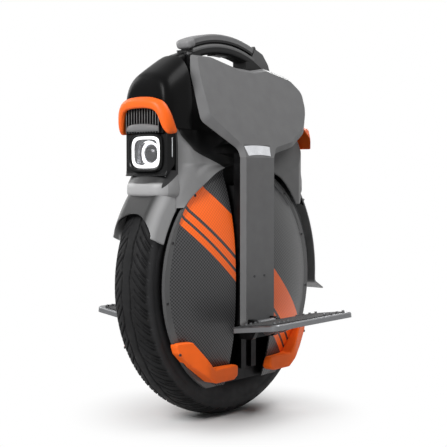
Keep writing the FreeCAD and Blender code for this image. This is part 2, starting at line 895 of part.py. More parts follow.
def lamp_block(grow):
    return plate_yz(lamp_corners(grow), shell_front_x - lamp_depth - grow, shell_front_x + grow)


def front_fascia():
    return fascia(lamp_block(seat_gap).fuse(lamp_slab(seat_gap)), True)


def tail_corners(grow):
    return rectangle(-tail_half - grow, tail_half + grow, tail_bottom_z - grow, tail_top_z + grow, tail_corner)


def rear_fascia():
    pocket = plate_yz(tail_corners(seat_gap), shell_front_x - tail_depth - seat_gap, lip_x + overrun)
    port = upright(-socket_x, 0, socket_body_radius + seat_gap, roof_z - shell_wall - overrun, roof_z + overrun)
    return other_end(fascia(pocket.fuse(port), False))


def headlight_housing():
    body = lamp_block(0).fuse(lamp_slab(0).common(shell_form(0, 0, True))).removeSplitter()
    bowl = plate_yz(rectangle(-lamp_half + lamp_frame, lamp_half - lamp_frame, lamp_bottom_z + lamp_frame,
                              lamp_top_z - lamp_frame, lamp_corner - lamp_frame),
                    shell_front_x - bowl_depth, shell_front_x + overrun)
    return body.cut(bowl)


def bowl_corners(inset):
    edge = lamp_frame + seat_gap + inset
    return rectangle(-lamp_half + edge, lamp_half - edge, lamp_bottom_z + edge, lamp_top_z - edge,
                     lamp_corner - lamp_frame)


def headlight_reflector():
    back = shell_front_x - bowl_depth + seat_gap
    front = shell_front_x - lens_thickness - seat_gap
    tray = plate_yz(bowl_corners(0), back, front)
    hollow = plate_yz(bowl_corners(ring_width), back + bowl_wall, front + overrun)
    step = plate_yz(bowl_corners(bowl_wall), front - ring_depth, front + overrun)
    middle = (lamp_bottom_z + lamp_top_z) / 2
    seat = along(0, middle, projector_radius + seat_gap, back - overrun, back + overrun)
    return tray.cut([hollow, step, seat])


def headlight_projector():
    back = shell_front_x - bowl_depth + seat_gap
    middle = (lamp_bottom_z + lamp_top_z) / 2
    body = along(0, middle, projector_radius, back, back + projector_depth)
    dome = Part.makeSphere(projector_dome_radius, Vector(back + projector_depth - projector_dome_radius, 0, middle))
    return body.common(dome)


def headlight_lens():
    return plate_yz(bowl_corners(0), shell_front_x - lens_thickness, shell_front_x)


def tail_light_lens():
    body = plate_yz(tail_corners(0), shell_front_x - tail_depth, shell_front_x)
    return other_end(body)


def cowl_form(wall):
    """Hood over the controller, as the shape that its profile, front and plan have in common."""
    base = deck_z + seat_gap
    foot = base - (overrun if wall else 0)
    length_share, height_share = cowl_crest_shares
    side = plate_xz([
        (cowl_rear_x + wall, foot, 0), (cowl_front_x - wall, foot, 0),
        (cowl_front_x - wall, cowl_waist_z, cowl_brow_rounding),
        (cowl_rear_x + (cowl_front_x - cowl_rear_x) * length_share,
         cowl_top_z - wall - (cowl_top_z - deck_z) * height_share, cowl_brow_rounding),
        (cowl_rear_x + wall, cowl_top_z - wall, lip_rounding * 2)], -shell_half, shell_half)
    front = plate_yz(both_ends([
        (cowl_base_half - wall, base - overrun, 0), (cowl_base_half - wall, cowl_waist_z, cowl_brow_rounding),
        (cowl_top_half - wall, cowl_top_z, cowl_edge_rounding)]), cowl_rear_x - overrun, cowl_front_x + overrun)
    nose_half = shell_front_half * shell_tip_share - wall
    plan = plate_xy(both_sides([
        (cowl_rear_x - overrun, -cowl_base_half + wall, 0),
        (cowl_front_x - wall, -nose_half, cowl_edge_rounding)]), base - overrun, cowl_top_z + overrun)
    return side.common(front).common(plan)


def top_cowl():
    return cowl_form(0).cut(cowl_form(shell_wall))


def front_visor():
    """Hood that stands out round the nose, open in the middle below its top band."""
    tip = shell_front_x + visor_reach
    cheek_z = visor_bottom_z + (visor_top_z - visor_bottom_z) * visor_cheek_share
    plan = both_sides([
        (tip, -shell_front_half * visor_tip_share, visor_rounding),
        (shell_front_x + visor_bend, -visor_half * visor_bend_share, visor_rounding),
        (visor_rear_x, -visor_half, small_corner)])
    body = plate_xy(plan, visor_bottom_z, visor_top_z)
    crown = plate_yz(both_ends([
        (visor_half, visor_bottom_z, 0), (visor_half, cheek_z, visor_rounding),
        (visor_half * visor_crown_share, visor_top_z, visor_rounding)]), visor_rear_x - overrun, tip + overrun)
    inside = plate_xy(shell_plan(seat_gap, 0), visor_bottom_z - overrun, deck_z + seat_gap)
    cowl_room = plate_xy(both_sides([
        (0, -cowl_base_half - seat_gap, 0),
        (cowl_front_x + seat_gap, -cowl_base_half - seat_gap, cowl_edge_rounding)]),
        visor_bottom_z, visor_top_z + overrun)
    window = plate_yz(rectangle(-visor_opening_half, visor_opening_half, visor_bottom_z - visor_band,
                                visor_top_z - visor_band, lamp_corner), visor_rear_x, tip + overrun)
    return body.common(crown).cut([inside, cowl_room, window])


def tail_hood_section(inset):
    half = tail_hood_half - inset
    top = tail_hood_top_z - inset
    foot = tail_hood_bottom_z - (overrun if inset else 0)
    cheek_z = tail_hood_bottom_z + (top - tail_hood_bottom_z) * visor_cheek_share
    return both_ends([(half, foot, 0), (half, cheek_z, visor_rounding),
                      (half * visor_crown_share, top, visor_rounding)])


def rear_visor():
    """Hood over the tail light, held by a neck on the back of the rear fascia."""
    outer = plate_yz(tail_hood_section(0), tail_hood_front_x, tail_hood_rear_x)
    hollow = plate_yz(tail_hood_section(tail_hood_wall), tail_hood_front_x + tail_hood_wall,
                      tail_hood_rear_x + overrun)
    plan = plate_xy(both_sides([
        (tail_hood_front_x, -tail_hood_half, 0),
        (tail_hood_rear_x, -tail_hood_half * visor_crown_share, visor_rounding)]),
        tail_hood_bottom_z - overrun, tail_hood_top_z + overrun)
    neck = box(shell_front_x + seat_gap, tail_hood_front_x + tail_hood_wall, -tail_hood_neck_half,
               tail_hood_neck_half, tail_hood_bottom_z, tail_hood_bottom_z + tail_hood_neck)
    return other_end(outer.common(plan).cut(hollow).fuse(neck).removeSplitter())


def heat_sink():
    back = cowl_front_x + seat_gap
    base = box(back, back + sink_base, -sink_half, sink_half, deck_z + seat_gap, fin_top_z)
    ledge = box(shell_front_x + seat_gap, back + fin_reach, -sink_half, sink_half,
                fin_bottom_z - sink_ledge, fin_bottom_z)
    link = box(back, back + sink_base, -sink_half, sink_half, fin_bottom_z - sink_ledge, deck_z + sink_ledge)
    fins = []
    for i in range(fin_count):
        y = -sink_half + (sink_half + sink_half - fin_thickness) * i / (fin_count - 1)
        fins.append(box(back, back + fin_reach, y, y + fin_thickness, fin_bottom_z - sink_ledge / 2, fin_top_z))
    return base.fuse([ledge, link] + fins).removeSplitter()


def controller():
    rear = cowl_rear_x + shell_wall + overrun
    return box(rear, rear + controller_length, -controller_width / 2, controller_width / 2,
               deck_z + seat_gap, deck_z + seat_gap + controller_height)


def front_fender():
    """Fender that rounds the tyre's shoulders and goes on from the liner, with an arch over the tread."""
    cheek = fender_half - fender_cheek
    right = [(cheek, liner_radius, fender_rounding - fender_cheek), (cheek, fender_cheek_radius, small_corner / 2),
             (fender_half, fender_cheek_radius, small_corner / 2),
             (fender_half, fender_outer_radius, fender_rounding)]
    fender = wheel_sector(both_ends(right), fender_start_angle, fender_end_angle)
    tower_half = plate_outer_y + seat_gap
    tower = box(0, plate_tower_half + seat_gap, -tower_half, tower_half, axle_z, deck_z)
    mouth = along(0, fender_arch_z, fender_arch_radius, fender_arch_x, tyre_radius + fender_outer_radius)
    return fender.cut([tower, mouth])


def rear_mudguard():
    inner = fender_inner_radius
    edge = guard_thickness / 3
    strip = wheel_sector(rectangle(-guard_half, guard_half, inner, inner + guard_thickness, edge),
                         guard_start_angle, guard_end_angle)
    angle = math.radians(guard_end_angle)
    foot_x = inner * math.cos(angle)
    foot_z = axle_z + inner * math.sin(angle)
    tip_x = foot_x - guard_flare_reach
    tip_z = foot_z - guard_flare_drop
    bend_height = foot_z - guard_flare_drop * guard_flare_bend_share
    flare = plate_xz([
        (foot_x, foot_z + overrun, 0),
        (foot_x, bend_height, guard_flare_rounding),
        (tip_x, tip_z, edge),
        (tip_x, tip_z + guard_thickness, edge),
        (foot_x - guard_thickness, bend_height + guard_thickness, guard_flare_rounding),
        (foot_x - guard_thickness, foot_z + overrun, 0)], -guard_half, guard_half)
    return strip.fuse([flare, mudguard_tab()]).removeSplitter()


def mudguard_tab():
    """Lifting tab that stands on the mudguard and leans back."""
    angle = math.radians(tab_angle)
    base = fender_inner_radius + guard_thickness / 2
    foot_x = base * math.cos(angle)
    foot_z = axle_z + base * math.sin(angle)
    tip_x = foot_x - tab_lean - tab_lean
    tip_z = foot_z + tab_stand
    front_share, back_share = tab_waist_shares
    side = [(foot_x - guard_thickness, foot_z - guard_thickness, 0),
            (foot_x + guard_thickness, foot_z + guard_thickness, 0),
            (foot_x - tab_lean / 2, foot_z + tab_stand * front_share, tab_lean),
            (tip_x, tip_z, guard_thickness / 2),
            (tip_x - guard_thickness, tip_z - guard_thickness, guard_thickness / 2),
            (foot_x - tab_lean, foot_z + tab_stand * back_share, tab_lean)]
    return plate_xz(side, -tab_half, tab_half)


def cap_hinge():
    """The cap's hinge axis (x, z), behind the socket's flange."""
    return (socket_x - socket_flange_radius - cap_knuckle_radius,
            roof_z + seat_gap + socket_flange + cap_knuckle_radius)


def charge_socket():
    base = roof_z + seat_gap
    top = base + socket_flange
    floor = roof_z - socket_depth
    x, z = cap_hinge()
    pieces = [upright(socket_x, 0, socket_flange_radius, base, top),
              upright(socket_x, 0, socket_pin_radius, floor, floor + shell_wall)]
    for y in (-cap_knuckle_half - cap_lug - seat_gap, cap_knuckle_half + seat_gap):
        pieces += [box(x - cap_knuckle_radius, x + cap_knuckle_radius, y, y + cap_lug, base, z),
                   across(x, z, cap_knuckle_radius, y, y + cap_lug),
                   box(x, socket_x - socket_radius - cap_lug, y, y + cap_lug, base, top)]
    body = upright(socket_x, 0, socket_body_radius, floor, top).fuse(pieces).removeSplitter()
    return body.cut(upright(socket_x, 0, socket_radius, floor + shell_wall, top + overrun))


def charge_cap():
    base = roof_z + seat_gap + socket_flange + seat_gap
    top = base + cap_thickness
    disc = upright(socket_x, 0, socket_flange_radius, base, top)
    disc = soften(disc, cap_rounding, lambda e: e.BoundBox.ZMin > base + cap_thickness / 2)
    x, z = cap_hinge()
    knuckle = across(x, z, cap_knuckle_radius - seat_gap, -cap_knuckle_half, cap_knuckle_half)
    strap = box(x, socket_x, -cap_knuckle_half, cap_knuckle_half, base, base + cap_thickness / 2)
    return disc.fuse([knuckle, strap]).removeSplitter()


def head_corners(shares, foot_half):
    """Outline of a head drawn upright, from the bend's front end over the horn to its rear end."""
    corners = [(foot_half, bend_z, 0)]
    for reach_share, rise_share, round_share in shares:
        reach = head_front_x if reach_share > 0 else head_rear_x
        corners.append((reach * reach_share, bend_z + head_rise * rise_share / math.cos(lean),
                        head_corner * round_share))
    return corners + [(-foot_half, bend_z, 0)]


def column_corners(half, bottom):
    return [(half, bend_z, 0), (half, bottom, column_corner), (-half, bottom, column_corner), (-half, bend_z, 0)]


def bevelled_plate(rim, face):
    """Plate of the side panel whose rim slopes up to a smaller outer face."""
    edge_y = panel_outer_y - panel_chamfer
    back = plate_xz(rim, panel_inner_y, edge_y)
    bevel = Part.makeLoft([rounded(rim, on_xz(edge_y)), rounded(face, on_xz(panel_outer_y))], True, True)
    return back.fuse(bevel).removeSplitter()


def spring_slot(y0, y1):
    return plate_xz(rectangle(-slot_half, slot_half, slot_bottom_z, spring_top_z + seat_gap, 0), y0, y1)


def leg_column():
    """Column of the leg, whose top follows the lean behind the panel."""
    foot = column_bottom_z + leg_inset
    knee = bend_z - (panel_outer_y - leg_outer_y) * math.tan(lean / 2)
    top = bend_z + leg_step
    half = column_half - leg_inset
    return plate_yz([(leg_inner_y, foot, 0), (leg_outer_y, foot, 0), (leg_outer_y, knee, 0),
                     (leg_outer_y - lean_slope * (top - knee), top, 0), (leg_inner_y, top, 0)], -half, half)


def leg_window(shares):
    corners = []
    for reach_share, rise_share in shares:
        reach = head_front_x if reach_share > 0 else head_rear_x
        corners.append((reach * reach_share, bend_z + head_rise * rise_share / math.cos(lean), window_corner))
    return leaned(plate_xz(corners, leg_outer_y - leg_plate - overrun, leg_outer_y + overrun))


def suspension_leg():
    head = leaned(plate_xz(head_corners(head_face_shares, column_face_half), leg_outer_y - leg_plate, leg_outer_y))
    reach = head_front_x + head_rear_x
    below = box(-reach, reach, leg_outer_y, panel_outer_y, column_bottom_z, bend_z)
    above = box(-reach, reach, 0, panel_outer_y, bend_z + head_rise * leg_top_share, bend_z + head_rise + head_rise)
    head = head.cut([below, above, leg_window(front_window_shares), leg_window(rear_window_shares)])
    return leg_column().fuse(head).cut(spring_slot(leg_inner_y - overrun, leg_outer_y + overrun)).removeSplitter()


def badge_corners(grow):
    low = bend_z + badge_stand - grow
    high = low + badge_height + grow + grow
    return both_ends([(badge_half + grow, low, small_corner), (badge_top_half + grow, high, small_corner)])


def side_panel():
    column = bevelled_plate(column_corners(column_half, column_bottom_z),
                            column_corners(column_face_half, column_bottom_z + panel_chamfer))
    head = bevelled_plate(head_corners(head_rim_shares, column_half),
                          head_corners(head_face_shares, column_face_half))
    badge = plate_xz(badge_corners(seat_gap), panel_outer_y - badge_thickness, panel_outer_y + overrun)
    slot = spring_slot(panel_inner_y - overrun, spring_y + spring_radius + seat_gap + spring_collar_extra)
    return column.fuse(leaned(head.cut(badge))).cut(slot).removeSplitter()


def neck_badge():
    return leaned(plate_xz(badge_corners(0), panel_outer_y - badge_thickness, panel_outer_y))


def spring_body():
    body = upright(0, spring_y, spring_radius, spring_bottom_z, spring_top_z)
    for z in (spring_bottom_z, spring_top_z - spring_collar):
        body = body.fuse(upright(0, spring_y, spring_radius + spring_collar_extra, z, z + spring_collar))
    bore = upright(0, spring_y, rod_radius + run_gap, spring_bottom_z - overrun,
                   spring_bottom_z + travel + rod_engage + overrun)
    return body.removeSplitter().cut(bore)


def spring_rod():
    return upright(0, spring_y, rod_radius, anchor_z + anchor_height, spring_bottom_z + rod_engage)


def slider_block(z):
    block = plate_xy(rectangle(-slider_half, slider_half, slider_inner_y, leg_inner_y, small_corner),
                     z, z + slider_height)
    way = plate_xy(rail_section(slide_gap), z - overrun, z + slider_height + overrun)
    mouth = box(-rail_web_half - slide_gap, rail_web_half + slide_gap, slider_inner_y - overrun,
                slider_inner_y + overrun, z - overrun, z + slider_height + overrun)
    return block.cut([way, mouth])


def slider_blocks():
    blocks = []
    for z in (lower_slider_z, upper_slider_z):
        block = slider_block(z)
        blocks += [block, other_side(block)]
    return Part.makeCompound(blocks)


def bridge(rear_x, length):
    """Block between the two legs' heads, tapered as they lean."""
    depth = head_depth + seat_gap
    section = both_ends([(head_y(bridge_z, depth), bridge_z, 0), (head_y(bridge_top_z, depth), bridge_top_z, 0)])
    return plate_yz(section, rear_x, rear_x + length)


def front_bridge():
    return bridge(bridge_front_x - bridge_length, bridge_length)


def rear_bridge():
    floor = bridge_top_z + button_stand - button_height - button_travel - seat_gap
    room = upright(button_x, 0, button_radius + seat_gap, floor, bridge_top_z + overrun)
    return bridge(tail_bridge_rear_x, tail_bridge_length).cut(room)


def pivot():
    return on_arch(pivot_radius, pivot_angle)


def handle_heel():
    """Rear end of the carry handle, which runs on down behind the trolley bar's pivot."""
    base = bridge_top_z + seat_gap
    low = on_arch(grip_inner_radius, pivot_angle)
    high = on_arch(strip_outer_radius, pivot_angle)
    corners = [(low[0], base, 0), (low[0], low[1], 0), (high[0], high[1], 0)]
    for length_share, height_share in heel_shares:
        corners.append((heel_front_x - heel_length * length_share, base + (high[1] - base) * height_share,
                        heel_rounding))
    tail = plate_xz(corners, -strip_half, strip_half)
    top = on_arch((grip_inner_radius + grip_outer_radius) / 2, grip_rear_angle)[1]
    return tail.fuse(box(heel_front_x - heel_lap, heel_front_x, -grip_half, grip_half, base, top))


def carry_handle():
    bar = arch(grip_inner_radius, grip_outer_radius, grip_rear_angle, grip_front_angle, grip_half)
    bar = soften(bar, grip_rounding, lambda e: e.BoundBox.XLength > foot_length * 2)
    top = on_arch((grip_inner_radius + grip_outer_radius) / 2, grip_front_angle)[1]
    foot = box(foot_front_x - foot_length, foot_front_x, -grip_half, grip_half, bridge_top_z + seat_gap, top)
    x, z = pivot()
    inner = pivot_knuckle_half + seat_gap
    room = across(x, z, pivot_knuckle_radius + swing_gap, -inner, inner)
    ears = []
    for y in (-pivot_ear_half, inner):
        ears.append(across(x, z, pivot_knuckle_radius, y, y + pivot_ear_half - inner))
    hole = across(x, z, pivot_pin_radius + run_gap, -strip_half, strip_half)
    pocket_angle = lift_angle + lift_room_angle
    pocket = arch(grip_inner_radius - overrun, grip_inner_radius + lift_depth + lift_travel + seat_gap,
                  -pocket_angle, pocket_angle, lift_half + seat_gap)
    whole = bar.fuse([foot, handle_heel()]).cut([room, pocket]).fuse(ears)
    return whole.cut(hole).removeSplitter()


def trolley_handle():
    strip = arch(strip_inner_radius, strip_outer_radius, strip_rear_angle, strip_front_angle, strip_half)
    crown_z = arch_z + strip_outer_radius - strip_rounding
    strip = soften(strip, strip_rounding,
                   lambda e: e.BoundBox.XLength > foot_length * 2 and e.BoundBox.ZMax > crown_z)
    x, z = pivot()
    room = across(x, z, pivot_knuckle_radius + swing_gap, -strip_half - overrun, strip_half + overrun)
    knuckle = across(x, z, pivot_knuckle_radius, -pivot_knuckle_half, pivot_knuckle_half)
    web = arch(strip_inner_radius + strip_rounding, pivot_radius, pivot_angle + joint_gap_angle,
               strip_rear_angle + strip_web_angle, pivot_knuckle_half)
    web = web.common(across(x, z, pivot_knuckle_radius * 3, -strip_half, strip_half))
    hole = across(x, z, pivot_pin_radius + run_gap, -strip_half, strip_half)
    return strip.cut(room).fuse([web, knuckle]).cut(hole).removeSplitter()


def trolley_cap():
    return arch(strip_inner_radius - end_cap_lap, strip_outer_radius + end_cap_lap,
                strip_front_angle + joint_gap_angle, end_cap_angle, strip_half + end_cap_lap)


def latch_plate():
    x = foot_front_x + seat_gap
    base = bridge_top_z + seat_gap
    plate = box(x, x + latch_thickness, -latch_half, latch_half, base, base + latch_height)
    holes = []
    for side in (-1, 1):
        for third in (1, 2):
            holes.append(along(side * latch_half / 2, base + latch_height * third / 3, latch_hole_radius,
                               x - overrun, x + latch_thickness + overrun))
    return plate.cut(holes)


def hinge_pins():
    x, z = pivot()
    pedal_pin = along(hinge_y, hinge_z, hinge_pin_radius, -knuckle_half - hanger_lug, knuckle_half + hanger_lug)
    trolley_pin = across(x, z, pivot_pin_radius, -pivot_ear_half, pivot_ear_half)
    return Part.makeCompound([pedal_pin, other_side(pedal_pin), trolley_pin])


def power_button():
    top = bridge_top_z + button_stand
    button = upright(button_x, 0, button_radius, top - button_height, top)
    return soften(button, button_rounding, lambda e: e.BoundBox.ZMin > top - button_height / 2)


def lift_switch():
    return arch(grip_inner_radius - lift_stand, grip_inner_radius + lift_depth, -lift_angle, lift_angle, lift_half)


def pedal_hanger():
    inner = knuckle_half + seat_gap
    reach = inner + hanger_lug
    top = column_bottom_z - seat_gap
    clear_y = panel_outer_y + swing_gap
    outer_y = hinge_y + hanger_lug_radius
    body = box(-reach, reach, leg_inner_y, panel_outer_y - small_corner, hanger_bottom_z, top)
    side = [(leg_inner_y, hanger_bottom_z, small_corner), (hinge_y, hanger_bottom_z, hanger_rounding),
            (outer_y, hinge_z - hanger_lug_radius, hanger_rounding),
            (outer_y, hinge_z + hanger_lug_radius, hanger_rounding),
            (clear_y, hinge_z + hanger_lug_radius, small_corner / 2), (clear_y, top, 0), (leg_inner_y, top, 0)]
    lugs = [plate_yz(side, inner, reach), plate_yz(side, -reach, -inner)]
    hole = along(hinge_y, hinge_z, hinge_pin_radius + run_gap, -reach - overrun, reach + overrun)
    room = along(hinge_y, hinge_z, knuckle_radius + swing_gap, -inner, inner)
    return body.cut(room).fuse(lugs).cut(hole).removeSplitter()


def pedal_corners(inset):
    front = pedal_front_x - inset
    rear = -pedal_rear_x + inset
    near = hinge_y + pedal_inner + inset
    far = hinge_y + pedal_width - inset
    front_share, rear_share = pedal_taper_shares
    return [(front, near, pedal_corner / 2), (front * front_share, far, pedal_corner),
            (rear * rear_share, far, pedal_corner), (rear, near + pedal_width / 2, pedal_corner * 2),
            (rear * rear_share, near, pedal_corner / 2)]


def tilted(shape):
    """A left pedal piece, drawn level, leaned up about its hinge."""
    raised = shape.copy()
    raised.rotate(Vector(0, hinge_y, hinge_z), Vector(1, 0, 0), pedal_tilt_angle)
    return raised


def pedal_rib_form(x, bottom):
    root = bottom + pedal_thickness / 4
    start_y = hinge_y + knuckle_radius
    return plate_yz([(start_y, root, 0), (start_y, bottom - pedal_rib_root, small_corner),
                     (hinge_y + pedal_inner + overrun, bottom - pedal_rib_height, pedal_window_corner),
                     (hinge_y + pedal_rib_reach, root, 0)], x - pedal_rib / 2, x + pedal_rib / 2)


def pedal_window(x, bottom):
    corners = rectangle(x - pedal_window_half, x + pedal_window_half, hinge_y + pedal_inner + grip_inset,
                        hinge_y + pedal_width - grip_inset * 2, pedal_window_corner)
    return plate_xy(corners, bottom - overrun, bottom + pedal_thickness / 2)


def pedal():
    top = hinge_z + pedal_top
    bottom = top - pedal_thickness
    plate = plate_xy(pedal_corners(0), bottom, top)
    rim = [e for e in plate.Edges if e.BoundBox.ZMin > top - pedal_thickness / 4]
    plate = plate.makeChamfer(pedal_bevel, rim)
    plate = plate.cut([pedal_window(x, bottom) for x in (-pedal_window_x, pedal_window_x)])
    knuckle = along(hinge_y, hinge_z, knuckle_radius, -knuckle_half, knuckle_half)
    arm = box(-knuckle_half, knuckle_half, hinge_y, hinge_y + pedal_inner + overrun, bottom, top)
    ribs = [pedal_rib_form(i * pedal_rib_pitch, bottom) for i in (-1, 0, 1)]
    hole = along(hinge_y, hinge_z, hinge_pin_radius + run_gap, -knuckle_half - overrun, knuckle_half + overrun)
    return tilted(plate.fuse([knuckle, arm] + ribs).cut(hole).removeSplitter())


def pedal_grip():
    base = hinge_z + pedal_top + grip_bond
    sheet = plate_xy(pedal_corners(grip_inset), base, base + grip_sheet)
    return tilted(sheet.cut([stud_form(p, seat_gap) for p in stud_points()]))


def stud_points():
    points = []
    for row_share in stud_row_shares:
        for side, reach in ((1, pedal_front_x), (-1, pedal_rear_x)):
            span = reach - stud_edge - stud_first_x
            for i in range(stud_columns):
                points.append((side * (stud_first_x + span * i / (stud_columns - 1)),
                               hinge_y + pedal_width * row_share))
    return points


def stud_form(point, grow):
    base = hinge_z + pedal_top + grip_bond
    return upright(point[0], point[1], stud_radius + grow, base - grow, base + grip_sheet + stud_height + grow)


def pedal_studs():
    return Part.makeCompound([tilted(stud_form(p, 0)) for p in stud_points()])


def nodes():
    left_leg = suspension_leg()
    left_panel = side_panel()
    left_front_cover = side_cover(1)
    left_rear_cover = side_cover(-1)
    front_bumper = lower_bumper(1)
    rear_bumper = lower_bumper(-1)
    rail = guide_rail()
    hanger = pedal_hanger()
    left_pedal = pedal()
    left_grip = pedal_grip()
    left_studs = pedal_studs()
    return {
        "tyre": tyre(),
        "inner_tube": inner_tube(),
        "valve_stem": valve_form(0, 0),
        "hub_drum": hub_drum(),
        "motor_covers": pair(motor_cover()),
        "rotor_magnets": rotor_magnets(),
        "wheel_bearings": pair(bearing()),
        "axle": axle(),
        "motor_stator": motor_stator(),
        "wheel_plates": pair(wheel_plate()),
        "wheel_arch": wheel_arch(),
        "guide_rail_left": rail,
        "guide_rail_right": other_side(rail),
        "axle_nuts": pair(axle_nut()),
        "side_cover_front_left": left_front_cover,
        "side_cover_rear_left": left_rear_cover,
        "side_cover_front_right": other_side(left_front_cover),
        "side_cover_rear_right": other_side(left_rear_cover),
        "cover_screws": cover_screws(),
        "battery_packs": battery_packs(),
        "bumpers_left": Part.makeCompound([front_bumper, rear_bumper]),
        "bumpers_right": Part.makeCompound([other_side(front_bumper), other_side(rear_bumper)]),
        "front_fascia": front_fascia(),
        "rear_fascia": rear_fascia(),
        "top_cowl": top_cowl(),
        "front_visor": front_visor(),
        "rear_visor": rear_visor(),
        "heat_sink": heat_sink(),
        "controller": controller(),
        "headlight_housing": headlight_housing(),
        "headlight_reflector": headlight_reflector(),
        "headlight_projector": headlight_projector(),
        "headlight_lens": headlight_lens(),
        "tail_light_lens": tail_light_lens(),
        "front_fender": front_fender(),
        "rear_mudguard": rear_mudguard(),
        "charge_socket": charge_socket(),
        "charge_cap": charge_cap(),
        "spring_rods": pair(spring_rod()),
        "spring_bodies": pair(spring_body()),
        "suspension_leg_left": left_leg,
        "suspension_leg_right": other_side(left_leg),
        "side_panel_left": left_panel,
        "side_panel_right": other_side(left_panel),
        "neck_badges": pair(neck_badge()),
        "slider_blocks": slider_blocks(),
        "front_bridge": front_bridge(),
        "rear_bridge": rear_bridge(),
        "carry_handle": carry_handle(),
        "latch_plate": latch_plate(),
        "hinge_pins": hinge_pins(),
        "pedal_hangers": pair(hanger),
        "trolley_handle": trolley_handle(),
        "trolley_cap": trolley_cap(),
        "power_button": power_button(),
        "lift_switch": lift_switch(),
        "pedal_left": Part.makeCompound([left_pedal, left_studs]),
        "pedal_right": Part.makeCompound([other_side(left_pedal), other_side(left_studs)]),
        "pedal_grip_left": left_grip,
        "pedal_grip_right": other_side(left_grip),
    }


def write_steps():
    os.makedirs("parts", exist_ok=True)
    for name, shape in nodes().items():
        shape.exportStep(os.path.join("parts", name + ".step"))


write_steps()
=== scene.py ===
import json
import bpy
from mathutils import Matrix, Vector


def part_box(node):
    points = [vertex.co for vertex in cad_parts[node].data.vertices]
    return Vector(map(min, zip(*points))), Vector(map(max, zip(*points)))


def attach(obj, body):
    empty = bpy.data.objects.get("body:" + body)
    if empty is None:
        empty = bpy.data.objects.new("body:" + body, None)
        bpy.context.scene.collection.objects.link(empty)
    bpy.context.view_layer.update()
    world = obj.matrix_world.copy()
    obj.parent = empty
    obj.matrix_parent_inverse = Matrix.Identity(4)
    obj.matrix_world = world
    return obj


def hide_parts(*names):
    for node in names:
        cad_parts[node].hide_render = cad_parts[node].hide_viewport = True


bl_info = {
    "name": "Electric unicycle",
    "version": (1, 0, 0),
    "blender": (4, 5, 0),
    "location": "View3D > Sidebar > Unicycle",
    "description": "Dresses the frame of an electric unicycle with its tread, finishes and small fittings",
    "category": "Object",
}

from math import cos, pi, radians, sin, sqrt

import bpy
import numpy as np
from bpy.props import FloatProperty, FloatVectorProperty, IntProperty, PointerProperty
from mathutils import Vector
from mathutils.bvhtree import BVHTree

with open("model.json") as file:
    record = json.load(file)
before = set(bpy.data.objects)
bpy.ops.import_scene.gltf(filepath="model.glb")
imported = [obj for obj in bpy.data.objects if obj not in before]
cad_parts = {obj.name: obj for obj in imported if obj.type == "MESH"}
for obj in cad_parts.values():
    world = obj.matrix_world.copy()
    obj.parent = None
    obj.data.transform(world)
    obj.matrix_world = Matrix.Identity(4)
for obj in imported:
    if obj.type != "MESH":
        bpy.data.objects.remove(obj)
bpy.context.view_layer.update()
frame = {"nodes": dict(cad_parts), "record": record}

NODES = frame["nodes"]
SLOTS = {part["node"]: part["material_slot"] for part in frame["record"]["subparts"]}

TYRE_LOW, TYRE_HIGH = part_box("tyre")
AXLE = Vector((0, 0, (TYRE_LOW[2] + TYRE_HIGH[2]) / 2))
TYRE_RADIUS = (TYRE_HIGH[2] - TYRE_LOW[2]) / 2
TYRE_HALF = (TYRE_HIGH[1] - TYRE_LOW[1]) / 2


def metres(name, description, default):
    """A length that the sidebar shows."""
    return FloatProperty(name=name, description=description, default=default, unit="LENGTH")


def tone(name, description, default):
    """A colour that the sidebar shows."""
    return FloatVectorProperty(name=name, description=description, default=default, subtype="COLOR", min=0, max=1)


class UnicycleSizes(bpy.types.PropertyGroup):
    """Sizes of the parts that are drawn over the frame."""

    bead_radius: metres("Bead radius", "Inner edge of the tyre", 0.178)
    tread_blocks: IntProperty(
        name="Tread blocks", description="Pairs of slanted grooves round the tyre", default=52, min=8)
    groove_depth: metres("Groove depth", "Depth of the tread grooves", 0.0034)
    groove_half: metres("Groove half width", "Half the width of a tread groove", 0.0012)
    weave_cell: metres("Weave cell", "Repeat of the woven pattern on the side covers", 0.0062)
    stripe_slope: FloatProperty(
        name="Stripe slope", default=0.9, description="Rise of the cover stripes towards the front")
    cover_rim: metres("Cover rim", "Radius at which the plain rim of a side cover starts", 0.2015)
    edge_round: metres("Edge rounding", "Softening of moulded edges", 0.0012)


class UnicycleColours(bpy.types.PropertyGroup):
    """Colours of the finishes."""

    orange: tone("Orange", "Visor, guards and stripes", (0.74, 0.110, 0.009))
    panel_grey: tone("Panel grey", "T-shaped side panels", (0.146, 0.146, 0.148))
    shell_grey: tone("Shell grey", "Fascias and fender", (0.21, 0.21, 0.212))
    black: tone("Black", "Plain black mouldings", (0.007, 0.007, 0.0073))
    rubber: tone("Rubber", "Tyre and grips", (0.008, 0.008, 0.0084))
    silver: tone("Silver", "Bare alloy", (0.58, 0.59, 0.61))
    steel: tone("Steel", "Screws, pins and studs", (0.5, 0.5, 0.52))
    lamp: tone("Lamp", "Lit ring of the headlight", (1.0, 1.0, 1.0))
    tail: tone("Tail light", "Tail light lens", (0.5, 0.02, 0.012))
    wrap: tone("Battery wrap", "Shrink wrap of the battery packs", (0.02, 0.06, 0.2))
    floor: tone("Floor", "Studio floor", (0.62, 0.62, 0.62))


def adjust(thing, **settings):
    """Sets attributes of a thing and gives it back."""
    for name, value in settings.items():
        setattr(thing, name, value)
    return thing


def sizes():
    return bpy.context.scene.unicycle_sizes


def colours():
    return bpy.context.scene.unicycle_colours


def shade(colour, factor=1.0):
    """The colour made darker or lighter, as an RGBA value."""
    return tuple(min(1.0, channel * factor) for channel in colour[:3]) + (1.0,)


